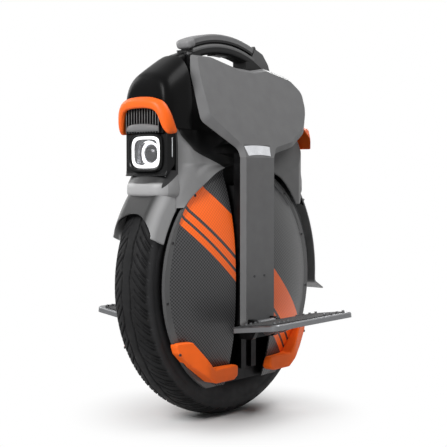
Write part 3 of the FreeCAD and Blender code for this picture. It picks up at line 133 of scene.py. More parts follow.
class Wiring:
    """The shader nodes of one tree, wired by short calls."""

    def __init__(self, tree):
        self.nodes = tree.nodes
        self.links = tree.links

    def put(self, socket, value):
        if isinstance(value, bpy.types.NodeSocket):
            self.links.new(value, socket)
        else:
            socket.default_value = value

    def add(self, kind, settings=None, **inputs):
        node = adjust(self.nodes.new(kind), **(settings or {}))
        for name, value in inputs.items():
            self.put(node.inputs[name.replace("_", " ")], value)
        return node

    def math(self, operation, *values, clamp=False):
        node = self.add("ShaderNodeMath", {"operation": operation, "use_clamp": clamp})
        for socket, value in zip(node.inputs, values):
            self.put(socket, value)
        return node.outputs[0]

    def seen(self):
        """1 for what is seen straight, mirrored or through a lens, and 0 for scattered light."""
        rays = self.add("ShaderNodeLightPath").outputs
        other = self.math("MAXIMUM", rays["Is Glossy Ray"], rays["Is Transmission Ray"])
        return self.math("MAXIMUM", rays["Is Camera Ray"], other)

    def show(self, output, factor, first, second):
        """Sends a blend of two shaders to the tree's output."""
        blend = self.add("ShaderNodeMixShader")
        for socket, value in zip(blend.inputs, (factor, first, second)):
            self.put(socket, value)
        self.put(self.nodes[output].inputs["Surface"], blend.outputs[0])


TEXTURE_MIDDLE = (0.3, 0.7)


class Finish(Wiring):
    """A material, with calls that colour, roughen and emboss it."""

    def __init__(self, name):
        self.material = bpy.data.materials.new(name)
        self.material.use_nodes = True
        super().__init__(self.material.node_tree)
        self.surface = self.nodes["Principled BSDF"]
        self.place = self.add("ShaderNodeTexCoord").outputs["Object"]

    def paint(self, colour, roughness, shine=0.5, **more):
        """Sets the colour, roughness and shine, and other inputs of the surface by their names."""
        more.update(Base_Color=colour, Roughness=roughness, Specular_IOR_Level=shine)
        for name, value in more.items():
            self.put(self.surface.inputs[name.replace("_", " ")], value)

    def axes(self):
        return self.add("ShaderNodeSeparateXYZ", Vector=self.place).outputs

    def times(self, first, second):
        return self.math("MULTIPLY", first, second)

    def above(self, value, line):
        return self.math("GREATER_THAN", value, line)

    def away(self, first, second, centre):
        """Distance from a centre in the plane of two axes."""
        squares = []
        for axis, middle in zip((first, second), centre):
            off = self.math("SUBTRACT", axis, middle)
            squares.append(self.times(off, off))
        return self.math("SQRT", self.math("ADD", *squares))

    def ramp(self, value, low, high, first=0.0, last=1.0):
        """Runs smoothly from first to last while the value runs from low to high."""
        return self.add(
            "ShaderNodeMapRange", {"interpolation_type": "SMOOTHSTEP"}, Value=value, From_Min=low,
            From_Max=high, To_Min=first, To_Max=last).outputs[0]

    def span(self, value, low=0.0, high=1.0):
        """Spreads a texture's middle range over low to high."""
        return self.add(
            "ShaderNodeMapRange", Value=value, From_Min=TEXTURE_MIDDLE[0], From_Max=TEXTURE_MIDDLE[1],
            To_Min=low, To_Max=high).outputs[0]

    def noise(self, scale, detail, stretch=None):
        vector = self.place
        if stretch:
            vector = self.add("ShaderNodeMapping", Vector=vector, Scale=stretch).outputs[0]
        return self.add("ShaderNodeTexNoise", Vector=vector, Scale=scale, Detail=detail).outputs["Fac"]

    def cloud(self, scale, detail, low=0.0, high=1.0):
        """Noise that is spread over low to high."""
        return self.span(self.noise(scale, detail), low, high)

    def mix(self, factor, first, second):
        node = self.add("ShaderNodeMix", {"data_type": "RGBA"})
        self.put(node.inputs["Factor"], factor)
        self.put(node.inputs[6], first)
        self.put(node.inputs[7], second)
        return node.outputs[2]

    def tint(self, factor, colour, low, high):
        """One colour, between two shades of it."""
        return self.mix(factor, shade(colour, low), shade(colour, high))

    def bump(self, height, depth):
        """Embosses the surface and gives the finished material."""
        node = self.add("ShaderNodeBump", Height=height, Distance=depth, Strength=1.0)
        self.put(self.surface.inputs["Normal"], node.outputs[0])
        return self.material

    def grain(self, grain, detail=2.0):
        """Embosses fine noise of a grain's scale and depth."""
        return self.bump(self.noise(grain[0], detail), grain[1])


MOULD_GRAIN = (1100.0, 0.00005)
FINE_GRAIN = (300.0, 0.00001)
RUBBER_GRAIN = (700.0, 0.0001)
WRAP_GRAIN = (200.0, 0.00005)
HANDLE_GRAIN = (900.0, 0.00005)
FIN_GRAIN = (900.0, 0.00003)
TYRE_GRAIN = (900.0, 0.0001)
MACHINING = (420.0, 0.00003)
GRIT = (620.0, 0.0004)
MOTTLING = (0.95, 1.05)


def moulded(name, colour, roughness, shine=0.5, grain=MOULD_GRAIN):
    """Moulded plastic: fine grain, slight mottling and uneven sheen."""
    look = Finish(name)
    look.paint(
        look.tint(look.cloud(40.0, 5.0), colour, *MOTTLING),
        look.cloud(60.0, 5.0, roughness * 0.92, roughness * 1.08), shine)
    return look.grain(grain)


def metal(name, colour, roughness, stretch=None):
    """Bare or anodised metal with fine machining lines."""
    look = Finish(name)
    lines = look.noise(MACHINING[0], 4.0, stretch)
    look.paint(
        look.tint(look.span(lines), colour, 0.82, 1.12),
        look.cloud(90.0, 4.0, roughness * 0.8, roughness * 1.25), Metallic=1.0)
    return look.bump(lines, MACHINING[1])


# Radii over which the painted sheen of the side walls fades in.
SIDEWALL_SHEEN = (0.236, 0.242, 1.0, 0.0)


def tyre_rubber():
    """Matt rubber, a little dusty in its broad areas, with a painted sheen that makes the side walls paler."""
    look = Finish("tyre_rubber")
    colour = colours().rubber
    dust = look.cloud(22.0, 6.0)
    x, _, z = look.axes()
    # painted sheen: the side walls get a much paler rubber colour than the tread
    wall = look.ramp(look.away(x, z, (0.0, AXLE.z)), *SIDEWALL_SHEEN)
    look.paint(
        look.mix(wall, look.tint(dust, colour, 0.8, 1.35), look.tint(dust, colour, 2.6, 3.4)),
        look.cloud(70.0, 4.0, 0.55, 0.75), shine=0.14)
    return look.grain(TYRE_GRAIN, 3.0)


SHELL_BEND = (0.130, 0.492)
SHELL_SLOPES = (1.1, 2.58)
CHIN_BACK = 0.172
CHIN_SLANT = 0.73
CHIN_LINE = 0.589
CHIN_CORNER_LINE = 0.575
CHIN_CORNER = 0.041
# Heights over which the painted shade on the top of the chin fades in.
CHIN_SHELF_SHADE = (0.431, 0.436)
CHIN_FRONT = 0.196


def two_tone_shell_painted_light():
    """Grey fascia, black beside the chin, with painted shade in black behind two slanting lines and on the chin's
    top, and a painted highlight that makes the chin's front lighter.
    """
    look = Finish("two_tone_shell_painted_light")
    grey, black = colours().shell_grey, colours().black
    x, y, z = look.axes()
    along = look.math("SUBTRACT", look.math("ABSOLUTE", x), SHELL_BEND[0])
    up = look.math("SUBTRACT", z, SHELL_BEND[1])
    # painted shade: behind the two slanting lines the fascia is painted black, for the shade in the recess behind
    # the panels
    recess_painted_shade = look.times(*[look.math("LESS_THAN", along, look.times(up, slope)) for slope in SHELL_SLOPES])
    slant = look.math("MULTIPLY_ADD", x, CHIN_SLANT, z)
    corner = look.times(look.above(look.math("ABSOLUTE", y), CHIN_CORNER), look.above(slant, CHIN_CORNER_LINE))
    beside = look.times(look.above(x, CHIN_BACK), look.math("MAXIMUM", look.above(slant, CHIN_LINE), corner))
    front = look.above(x, CHIN_FRONT)
    # painted shade: the top of the chin is painted black
    shelf_painted_shade = look.times(look.ramp(z, *CHIN_SHELF_SHADE), front)
    # painted highlight: the chin's front face is painted a lighter grey
    body = look.mix(front, look.tint(look.cloud(40.0, 5.0), grey, *MOTTLING), shade(grey, 1.35))
    body = look.mix(look.math("MAXIMUM", beside, shelf_painted_shade), body, shade(black, 1.6))
    shine = look.math("MULTIPLY_ADD", recess_painted_shade, -0.15, 0.3)
    look.paint(look.mix(recess_painted_shade, body, shade(black)), roughness=0.42, shine=shine)
    return look.grain(MOULD_GRAIN)


ARCH_X = 0.005
ARCH_Z = 0.4375
STRIP_LINE = 0.2612
GRIP_LINE = 0.2475


def arched(name, line, outer, inner, shine):
    """Two colours that meet on an arc about the handle's centre."""
    look = Finish(name)
    x, _, z = look.axes()
    outside = look.above(look.away(x, z, (ARCH_X, ARCH_Z)), line)
    colour = look.mix(outside, shade(inner), look.tint(look.cloud(60.0, 4.0), outer, 0.94, 1.06))
    look.paint(colour, roughness=0.48, shine=shine)
    return look.grain(HANDLE_GRAIN)


# Half widths over which the painted shade on the fender's crown turns into the painted light of its sides.
FENDER_CROWN_SHADE = (0.030, 0.046)


def fender_grey_painted_light():
    """Grey fender with painted shade along its crown and painted light that makes its sides paler."""
    look = Finish("fender_grey_painted_light")
    # painted shade on the crown and painted light on the sides
    edge = look.ramp(look.math("ABSOLUTE", look.axes()["Y"]), *FENDER_CROWN_SHADE)
    look.paint(look.tint(edge, colours().shell_grey, 0.12, 1.5), look.cloud(60.0, 5.0, 0.4, 0.46), shine=0.2)
    return look.grain(MOULD_GRAIN)


FIN_ROOT = 0.2022
FIN_REACH = 0.0042
# Reach beyond which the fins' front edges carry a painted highlight.
FIN_HIGHLIGHT_LINE = FIN_ROOT + FIN_REACH * 1.8


def fin_grey_painted_highlight():
    """Dark metal with a painted highlight that makes the fins' front edges paler."""
    look = Finish("fin_grey_painted_highlight")
    # painted highlight: the fins' front edges are painted a paler grey
    highlight_mask = look.above(look.axes()["X"], FIN_HIGHLIGHT_LINE)
    edge_highlight = look.tint(look.cloud(160.0, 3.0), shade(colours().panel_grey, 0.9), 0.85, 1.1)
    look.paint(look.mix(highlight_mask, shade(colours().black), edge_highlight), roughness=0.4, shine=0.15)
    return look.grain(FIN_GRAIN)


def grip_sheet():
    """Coarse anti-slip sheet."""
    look = Finish("grip_sheet")
    grit = look.add("ShaderNodeTexVoronoi", Vector=look.place, Scale=GRIT[0]).outputs["Distance"]
    look.paint(look.tint(grit, colours().black, 0.7, 3.2), roughness=0.85)
    return look.bump(grit, GRIT[1])


STRIPES = ((0.254, 0.327), (0.229, 0.246), (0.206, 0.222))
RIM_NARROWING = (0.30, 0.42, 0.0, 0.011)
WEAVE_DEPTH = 0.00012


def woven_cover():
    """Woven look with diagonal stripes, and a plain dark rim."""
    look = Finish("woven_cover")
    x, _, z = look.axes()
    turn = 2 * pi / sizes().weave_cell
    waves = [look.math("SINE", look.times(axis, turn)) for axis in (x, z)]
    weave = look.math("MULTIPLY_ADD", look.times(*waves), 0.9, 0.5, clamp=True)
    height = look.math("SUBTRACT", z, look.times(x, sizes().stripe_slope))
    stripes = 0.0
    for low, high in STRIPES:
        band = look.math("COMPARE", height, (low + high) / 2, (high - low) / 2)
        stripes = look.math("ADD", stripes, band)
    edge = look.math("ADD", look.ramp(z, *RIM_NARROWING), sizes().cover_rim)
    rim = look.above(look.away(x, z, (0.0, AXLE.z)), edge)
    cloth = look.mix(
        stripes, look.tint(weave, colours().black, 0.5, 9.0), look.tint(weave, colours().orange, 1.08, 1.32))
    look.paint(
        look.mix(rim, cloth, shade(colours().panel_grey, 0.5)), look.math("MULTIPLY_ADD", weave, -0.1, 0.46),
        shine=0.35, Coat_Weight=0.1, Coat_Roughness=0.25)
    return look.bump(weave, WEAVE_DEPTH)


def lit_ring():
    """White moulding that glows."""
    look = Finish("lit_ring")
    colour = colours().lamp
    look.paint(
        look.tint(look.cloud(500.0, 1.0), colour, 0.85, 1.0), roughness=0.25, Emission_Color=shade(colour),
        Emission_Strength=0.75)
    return look.material


BOWL_RING = (0.0195, 0.0032)
BOWL_RIBS = 3500.0
BOWL_RIB_DEPTH = 0.0003
BOWL_GREY = (0.22, 0.22, 0.23, 1)
BOWL_PALE = (0.9, 0.9, 0.9, 1)


def lamp_bowl():
    """Grey bowl that is lit only in a ring round the projector."""
    look = Finish("lamp_bowl")
    low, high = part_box("headlight_projector")
    _, y, z = look.axes()
    away = look.away(y, z, (0.0, (low[2] + high[2]) / 2))
    ring = look.math("COMPARE", away, *BOWL_RING)
    ribs = look.math("SINE", look.times(away, BOWL_RIBS))
    look.paint(
        look.mix(ring, BOWL_GREY, BOWL_PALE), look.math("MULTIPLY_ADD", ribs, 0.05, 0.3), Metallic=0.6,
        Emission_Color=shade(colours().lamp), Emission_Strength=look.times(ring, 0.8))
    return look.bump(ribs, BOWL_RIB_DEPTH)


LENS_COLOUR = (0.97, 0.98, 1.0)


def clear_lens():
    """Clear glass with a slight haze."""
    look = Finish("lamp_glass")
    look.paint(shade(LENS_COLOUR), look.cloud(200.0, 2.0, 0.012, 0.028), Transmission_Weight=1.0, IOR=1.45)
    return look.material


def build_finishes():
    """The finish of every material slot, and of the nodes and pieces that have their own."""
    c = colours()
    return {
        "tyre": tyre_rubber(),
        "black_rubber": moulded("black_rubber", c.rubber, 0.7, 0.2, RUBBER_GRAIN),
        "steel": metal("bright_steel", c.steel, 0.28),
        "dark_steel": metal("blackened_steel", shade(c.steel, 0.12), 0.4),
        "silver_alloy": metal("silver_alloy", shade(c.silver, 0.3), 0.38, (1.0, 8.0, 8.0)),
        "black_alloy": metal("black_anodised", shade(c.black, 2.2), 0.42),
        "dark_grey_shell": moulded("shell_grey", c.shell_grey, 0.42, 0.3),
        "two_tone_shell_painted_light": two_tone_shell_painted_light(),
        "rear_shell": moulded("rear_shell", shade(c.shell_grey, 0.4), 0.42, 0.2),
        "grey_panel": moulded("panel_grey", c.panel_grey, 0.46, 0.1),
        "gloss_black": moulded("gloss_black", shade(c.black, 0.6), 0.26, 0.14, FINE_GRAIN),
        "black_plastic": moulded("black_plastic", c.black, 0.5, 0.16),
        "carbon_weave": woven_cover(),
        "orange_trim": moulded("orange_trim", c.orange, 0.45, 0.25),
        "orange_guard": moulded("orange_guard", shade(c.orange, 1.1), 0.5, 0.2),
        "hood_black": moulded("hood_black", shade(c.black, 0.5), 0.3, 0.045, FINE_GRAIN),
        "strip_grey": arched("strip_grey", STRIP_LINE, shade(c.panel_grey, 1.05), c.black, 0.2),
        "grip_grey": arched("grip_grey", GRIP_LINE, shade(c.panel_grey, 0.7), c.rubber, 0.16),
        "cap_grey": moulded("cap_grey", shade(c.panel_grey, 1.3), 0.42, 0.25),
        "fender_grey_painted_light": fender_grey_painted_light(),
        "fin_grey_painted_highlight": fin_grey_painted_highlight(),
        "battery_wrap": moulded("battery_wrap", c.wrap, 0.35, grain=WRAP_GRAIN),
        "lamp_white": lit_ring(),
        "lamp_bowl": lamp_bowl(),
        "grip_sheet": grip_sheet(),
        "lamp_glass": clear_lens(),
        "lamp_dark": moulded("projector_glass", c.black, 0.08, grain=FINE_GRAIN),
        "tail_red": moulded("tail_red", c.tail, 0.2, grain=FINE_GRAIN),
        "badge": metal("badge_silver", c.silver, 0.35, (1.0, 1.0, 12.0)),
    }


FINISHES = {}
OWN_FINISH = {
    "headlight_reflector": "lamp_bowl", "rear_fascia": "rear_shell", "hinge_pins": "dark_steel",
    "pedal_grip_left": "grip_sheet", "pedal_grip_right": "grip_sheet", "rear_mudguard": "dark_grey_shell",
    "front_fender": "fender_grey_painted_light", "carry_handle": "grip_grey", "trolley_handle": "strip_grey",
    "bumpers_left": "orange_guard", "bumpers_right": "orange_guard",
}
NODE_CREASE = 28
FLAT_CREASE = 30
SHELL_CREASE = 50
BEVEL_LIMIT = 40


def finish_for(name):
    """The finish of that name; all of them are made at the first call."""
    if not FINISHES:
        FINISHES.update(build_finishes())
    return FINISHES[name]


def dress(node):
    """Gives a CAD node its finish and smooth shading between its creases."""
    piece = NODES[node]
    for slot in piece.material_slots:
        slot.material = finish_for(OWN_FINISH.get(node, SLOTS[node]))
    piece.data.set_sharp_from_angle(angle=radians(NODE_CREASE))
    return piece


def soften(node, width):
    """Rounds a node's hard edges so that they catch the light."""
    adjust(
        dress(node).modifiers.new("soft_edges", "BEVEL"), width=width, segments=2, limit_method="ANGLE",
        angle_limit=radians(BEVEL_LIMIT), harden_normals=True)


def melt(node, voxel, rounds):
    """Rounds a node all over, as a thick moulding is rounded."""
    piece = dress(node)
    adjust(piece.modifiers.new("even_mesh", "REMESH"), mode="VOXEL", voxel_size=voxel, use_smooth_shade=True)
    adjust(piece.modifiers.new("round_over", "SMOOTH"), factor=0.5, iterations=rounds)


def linked(name, data):
    """A new object in the scene that holds the data."""
    holder = bpy.data.objects.new(name, data)
    bpy.context.scene.collection.objects.link(holder)
    return holder


def new_piece(name, shape, slot, body, nodes=(), finish=None, crease=None):
    """A mesh piece with a slot's finish or its own, riding on a body and standing for CAD nodes."""
    points, faces = shape
    mesh = bpy.data.meshes.new(name)
    mesh.from_pydata(points, [], faces)
    mesh.update()
    mesh.shade_smooth()
    if crease:
        mesh.set_sharp_from_angle(angle=radians(crease))
    piece = linked(name, mesh)
    mesh.materials.append(finish_for(finish or slot))
    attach(piece, body)
    if nodes:
        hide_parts(*nodes)


def skin(loops):
    """Points and faces over equal closed loops of points, with both ends closed."""
    count = len(loops[0])
    points = [tuple(point) for loop in loops for point in loop]
    faces = [tuple(reversed(range(count)))]
    for row in range(len(loops) - 1):
        start = row * count
        for i in range(count):
            j = (i + 1) % count
            faces.append((start + i, start + j, start + count + j, start + count + i))
    faces.append(tuple(range((len(loops) - 1) * count, len(loops) * count)))
    return points, faces


def together(parts):
    """Joins the points and faces of several skins."""
    points, faces = [], []
    for part_points, part_faces in parts:
        start = len(points)
        points += part_points
        faces += [tuple(start + i for i in face) for face in part_faces]
    return points, faces


def mirrored(part):
    """The same skin on the other side of the vehicle."""
    points, faces = part
    return [(x, -y, z) for x, y, z in points], [tuple(reversed(face)) for face in faces]


def both_sides(parts):
    """Skins of the left side joined with their mirror images."""
    return together([each for part in parts for each in (part, mirrored(part))])


def bulge(value, power):
    """A sine or cosine bent so that a circle turns towards a square as the power grows."""
    return np.copysign(np.abs(value) ** (2 / power), value)


def rounded_square(half_wide, half_high, power, count):
    """Closed outline between an ellipse and a rectangle."""
    turns = 2 * pi * np.arange(count) / count
    return list(zip(half_wide * bulge(np.cos(turns), power), half_high * bulge(np.sin(turns), power)))


def wave(share, count):
    """Height from 0 to 1 of a row of rounded ridges."""
    return 0.5 - 0.5 * cos(2 * pi * count * share)


def tree(node):
    """Search tree over a CAD node's faces."""
    mesh = NODES[node].data
    return BVHTree.FromPolygons([v.co for v in mesh.vertices], [p.vertices for p in mesh.polygons])


def on_side(node, x, z):
    """Point and outward direction where a node's left side is met at x and z."""
    point, normal, _, _ = tree(node).ray_cast(Vector((x, 1.0, z)), Vector((0, -1, 0)))
    if point is None:
        raise ValueError(f"{node} has no left side at {x}, {z}")
    return point, normal


MELTED = {
    "rear_visor": (0.0012, 14), "bumpers_left": (0.0012, 18), "bumpers_right": (0.0012, 18),
    "front_fender": (0.0010, 8), "rear_fascia": (0.0012, 14), "headlight_housing": (0.0011, 12),
}
SOFT_EDGES = {
    "side_panel_left": 0.8, "side_panel_right": 0.8, "carry_handle": 1.0, "pedal_left": 0.3,
    "pedal_right": 0.3, "front_bridge": 1.0, "rear_bridge": 1.0, "pedal_hangers": 0.8,
}


class UNICYCLE_OT_finishes(bpy.types.Operator):
    """Give every CAD node its finish and soften the moulded edges"""
    bl_idname = "unicycle.finishes"
    bl_label = "Finishes"

    def execute(self, context):
        for node in NODES:
            if node in MELTED:
                melt(node, *MELTED[node])
            elif node in SOFT_EDGES:
                soften(node, sizes().edge_round * SOFT_EDGES[node])
            else:
                dress(node)
        return {"FINISHED"}


def arc(first, middle, last, count):
    """Points on the circle through three points, the last one left out."""
    a, b, c = (complex(*p) for p in (first, middle, last))
    ratio = (c - a) / (b - a)
    centre = a + (b - a) * (ratio - abs(ratio) ** 2) / (ratio - ratio.conjugate())
    start, end = (np.angle(p - centre) for p in (a, c))
    sweep = (end - start + pi) % (2 * pi) - pi
    points = centre + abs(a - centre) * np.exp(1j * (start + sweep * np.arange(count) / count))
    return [np.array([p.real, p.imag]) for p in points]


TYRE_ARCS = (
    ((0.0, 1.0), (0.33, 0.985), (0.65, 0.945), 30),
    ((0.65, 0.945), (0.91, 0.84), (0.985, 0.61), 26),
    ((0.985, 0.61), (0.955, 0.40), (0.72, 0.19), 14),
)
TYRE_BEAD = ((0.72, 0.19), (0.72, 0.1), (0.72, 0.02), (0.66, 0.02), (0.66, 0.2))


def tyre_section():
    """Half section of the tyre as (across, from the axle), from the crown to the bead and the inside edge."""
    bead = sizes().bead_radius
    height = TYRE_RADIUS - bead

    def at(share):
        return (TYRE_HALF * share[0], bead + height * share[1])

    points = []
    for first, middle, last, count in TYRE_ARCS:
        points += arc(at(first), at(middle), at(last), count)
    points += [np.array(at(share)) for share in TYRE_BEAD]
    return np.array(points)


def smooth_step(value, low, high):
    """Runs from 0 to 1, with level ends, while the value runs from low to high."""
    t = np.clip((value - low) / (high - low), 0.0, 1.0)
    return t * t * (3 - 2 * t)


TREAD_REACH = 0.98
TREAD_STEPS = 32
RIB_SHARE = 0.24
RIB_WANDER = 0.035
RIB_FADE = (0.8, 1.6)
GROOVE_BEND = 0.55
GROOVE_SWEEP = 2.3
GROOVE_FADE = (0.75, 1.5)
START_FADE = 0.04
END_FADE = 0.05
STEEPEST_SHARE = 0.03
# Each row of cuts: shift in turns of the pattern, start and end as shares of the tread, width and depth.
TREAD_CUTS = ((0.0, RIB_SHARE, 1.08, 1.0, 1.0), (0.5, 0.46, 1.0, 0.8, 1.0), (0.25, 0.72, 1.06, 0.6, 0.7))


def tread_depth(angle, reach):
    """Share of the full groove depth at angles round the tyre and distances from the crown's middle."""
    size = sizes()
    pitch = 2 * pi * TYRE_RADIUS / size.tread_blocks
    tread = TREAD_REACH * TYRE_HALF
    share = np.clip(reach / tread, 0.0, 1.4)
    turns = angle * size.tread_blocks / (2 * pi)
    curve = GROOVE_SWEEP * np.power(np.maximum(share, 1e-4), GROOVE_BEND)
    steep = np.power(np.maximum(share, STEEPEST_SHARE), GROOVE_BEND - 1)
    slope = GROOVE_SWEEP * GROOVE_BEND * steep * pitch / tread

    def cut(distance, half, fade):
        return 1 - smooth_step(distance, half * fade[0], half * fade[1])

    cuts = []
    for shift, start, end, width, depth in TREAD_CUTS:
        off = (turns + curve + shift + 0.5) % 1.0 - 0.5
        distance = np.abs(off) * pitch / np.sqrt(1 + slope * slope)
        begun = smooth_step(share, start - START_FADE, start + START_FADE)
        ended = smooth_step(share, end - END_FADE, end + END_FADE)
        cuts.append(begun * (1 - ended) * cut(distance, size.groove_half * width, GROOVE_FADE) * depth)
    wander = np.abs((turns * 0.5 + 0.25) % 1.0 - 0.5) * 4 - 1
    off_rib = np.abs(share - RIB_SHARE - RIB_WANDER * wander) * tread
    return np.maximum.reduce(cuts + [cut(off_rib, size.groove_half, RIB_FADE)])


def tyre_mesh(around):
    """Points and faces of the tyre, with its tread cut into the crown and shoulders."""
    half = tyre_section()
    left = half[::-1] * (-1, 1)
    section = np.vstack([left[:-1], half])
    along = np.gradient(section, axis=0)
    normal = np.stack([-along[:, 1], along[:, 0]], axis=1)
    normal /= np.linalg.norm(normal, axis=1)[:, None]
    reach = np.cumsum(np.linalg.norm(np.diff(section, axis=0, prepend=section[:1]), axis=1))
    reach = np.abs(reach - reach[len(left) - 1])
    angles = 2 * pi * np.arange(around) / around
    depth = tread_depth(angles[:, None], reach[None, :]) * sizes().groove_depth
    y = section[None, :, 0] - depth * normal[None, :, 0]
    r = section[None, :, 1] - depth * normal[None, :, 1]
    points = np.stack([r * np.cos(angles)[:, None], y, AXLE.z + r * np.sin(angles)[:, None]], axis=-1)
    index = np.arange(around * len(section)).reshape(around, -1)
    following = np.roll(index, -1, axis=0)
    faces = np.stack([index[:, :-1], following[:, :-1], following[:, 1:], index[:, 1:]], axis=-1)
    return points.reshape(-1, 3).tolist(), faces.reshape(-1, 4).tolist()


class UNICYCLE_OT_tyre(bpy.types.Operator):
    """Make the tyre with its directional tread"""
    bl_idname = "unicycle.tyre"
    bl_label = "Tyre"

    def execute(self, context):
        new_piece("tyre_tread", tyre_mesh(sizes().tread_blocks * TREAD_STEPS), "tyre", "wheel", ["tyre"])
        return {"FINISHED"}


SCREW_SIDES = 36
SCREW_EDGE = 0.16
SOCKET_SIZE = 0.55
SOCKET_CORNERS = 6
SOCKET_DEPTH = 4


def screw(centre, axis, radius, height):
    """Head of a socket screw that stands on the centre, with a six-sided recess."""
    axis = Vector(axis).normalized()
    across = axis.orthogonal().normalized()
    up = axis.cross(across)

    def loop(size, rise, corners=0):
        ring = []
        for i in range(SCREW_SIDES):
            turn = 2 * pi * i / SCREW_SIDES
            reach = size
            if corners:
                sector = 2 * pi / corners
                reach = size * cos(sector / 2) / cos(turn % sector - sector / 2)
            ring.append(Vector(centre) + axis * rise + (across * cos(turn) + up * sin(turn)) * reach)
        return ring

    edge = radius * SCREW_EDGE
    socket = radius * SOCKET_SIZE
    head = [loop(radius, 0), loop(radius, height - edge), loop(radius - edge, height)]
    return skin(head + [loop(socket, rise, SOCKET_CORNERS) for rise in (height, height - edge * SOCKET_DEPTH)])


COVER_SCREW_ANGLES = (50.0, 22.0, -7.0)
COVER_SCREW_CIRCLE = 0.208
COVER_SCREW_SEAT = 0.0488
# Radius and height of the screw heads.
COVER_SCREW = (0.0029, 0.0072)
SMALL_SCREW = (0.0025, 0.0014)
SMALL_SCREWS = (
    ("bumper_screws", "chassis", "bumpers_left", ((0.187, 0.138), (-0.187, 0.138))),
    ("column_screws", "foot_frame", "side_panel_left", ((0.018, 0.264), (-0.012, 0.264))),
)


class UNICYCLE_OT_screws(bpy.types.Operator):
    """Make the socket screws of the covers, bumpers and columns"""
    bl_idname = "unicycle.screws"
    bl_label = "Screws"

    def execute(self, context):
        covers = []
        for angle in COVER_SCREW_ANGLES:
            for turn in (radians(angle), radians(180 - angle)):
                x = COVER_SCREW_CIRCLE * cos(turn)
                z = AXLE.z + COVER_SCREW_CIRCLE * sin(turn)
                covers.append(screw((x, COVER_SCREW_SEAT, z), (0, 1, 0), *COVER_SCREW))
        new_piece(
            "cover_socket_screws", both_sides(covers), "dark_steel", "chassis", ["cover_screws"],
            crease=FLAT_CREASE)
        for name, body, node, places in SMALL_SCREWS:
            small = []
            for x, z in places:
                point, normal = on_side(node, x, z)
                small.append(screw(point - normal * SMALL_SCREW[1] / 2, normal, *SMALL_SCREW))
            new_piece(name, both_sides(small), "dark_steel", body, crease=FLAT_CREASE)
        return {"FINISHED"}


LAMP_RAISE = 0.002
HOOP_POINTS = 96
BEZEL_POWER = 4.2
BEZEL_STEPS = ((0.0075, -0.003), (0.0078, 0.0026), (0.0062, 0.0048), (0.0042, 0.0052), (0.0026, 0.0042),
               (0.0018, 0.0012), (0.0018, -0.001))
RING_POWER = 4.0
RING_STEPS = ((0.0006, 0.0002), (0.0004, 0.0016), (-0.0012, 0.0024), (-0.0038, 0.0022), (-0.0048, 0.0002))
BROW_STEPS = 41
BROW_POWER = 2.6
BROW_SECTION = (2.6, 28)
BROW_BACK = 0.2055
BROW_REACH = 0.0095
BROW_Z = 0.5293
BROW_DROP = 0.002
BROW_HALF = 0.0385
BROW_DEPTH = 0.0062
BROW_HEIGHT = 0.0068
LINE_X = 0.1912
LINE_Z = (0.4785, 0.5125, 12)
LINE_HALF = 0.0007
LINE_SECTION = (2.0, 10)


class UNICYCLE_OT_headlight(bpy.types.Operator):
    """Make the bezel, lit ring and brow of the headlight and the lines on its housing"""
    bl_idname = "unicycle.headlight"
    bl_label = "Headlight"

    def execute(self, context):
        low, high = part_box("headlight_lens")
        middle = (low[2] + high[2]) / 2 + LAMP_RAISE
        half_wide, half_high = (high[1] - low[1]) / 2, (high[2] - low[2]) / 2

        def hoop(steps, power):
            """Closed band round the lens, from its growth past the edge and its stand before the face."""
            loops = []
            for grow, stand in steps:
                outline = rounded_square(half_wide + grow, half_high + grow, power, HOOP_POINTS)
                loops.append([(high[0] + stand, y, middle + z) for y, z in outline])
            points, faces = skin(loops + loops[:1])
            return points, faces[1:-1]

        new_piece("headlight_bezel", hoop(BEZEL_STEPS, BEZEL_POWER), "gloss_black", "chassis", crease=FLAT_CREASE)
        new_piece("headlight_ring", hoop(RING_STEPS, RING_POWER), "lamp_white", "chassis")
        brow = []
        for share in np.linspace(-1, 1, BROW_STEPS):
            bow = 1 - abs(share) ** BROW_POWER
            x = BROW_BACK + BROW_REACH * bow
            z = BROW_Z - BROW_DROP * (1 - bow)
            half_deep, half_tall = BROW_DEPTH * (0.5 + 0.5 * bow), BROW_HEIGHT * (0.6 + 0.4 * bow)
            section = rounded_square(half_deep, half_tall, *BROW_SECTION)
            brow.append([(x + a, BROW_HALF * share, z + b) for a, b in section])
        new_piece("headlight_brow", skin(brow), "grey_panel", "chassis")
        bar = []
        for z in np.linspace(*LINE_Z):
            point, normal = on_side("headlight_housing", LINE_X, z)
            along = Vector((0, 0, 1)).cross(normal).normalized()
            section = rounded_square(LINE_HALF, LINE_HALF, *LINE_SECTION)
            bar.append([point + along * a + normal * b for a, b in section])
        new_piece("housing_lines", both_sides([skin(bar)]), "badge", "chassis")
        return {"FINISHED"}


FIN_PLATE = (0.0019, 0.043)
FIN_PLATE_SECTION = (8.0, 24)
FIN_SECTION = (4.0, 20)
FIN_Z = (0.5205, 0.570)
FIN_SIDE = 6
FIN_PITCH = 0.0063
FIN_THICK = 0.0018
FIN_EDGE = 0.001
FIN_INSET = 0.0008


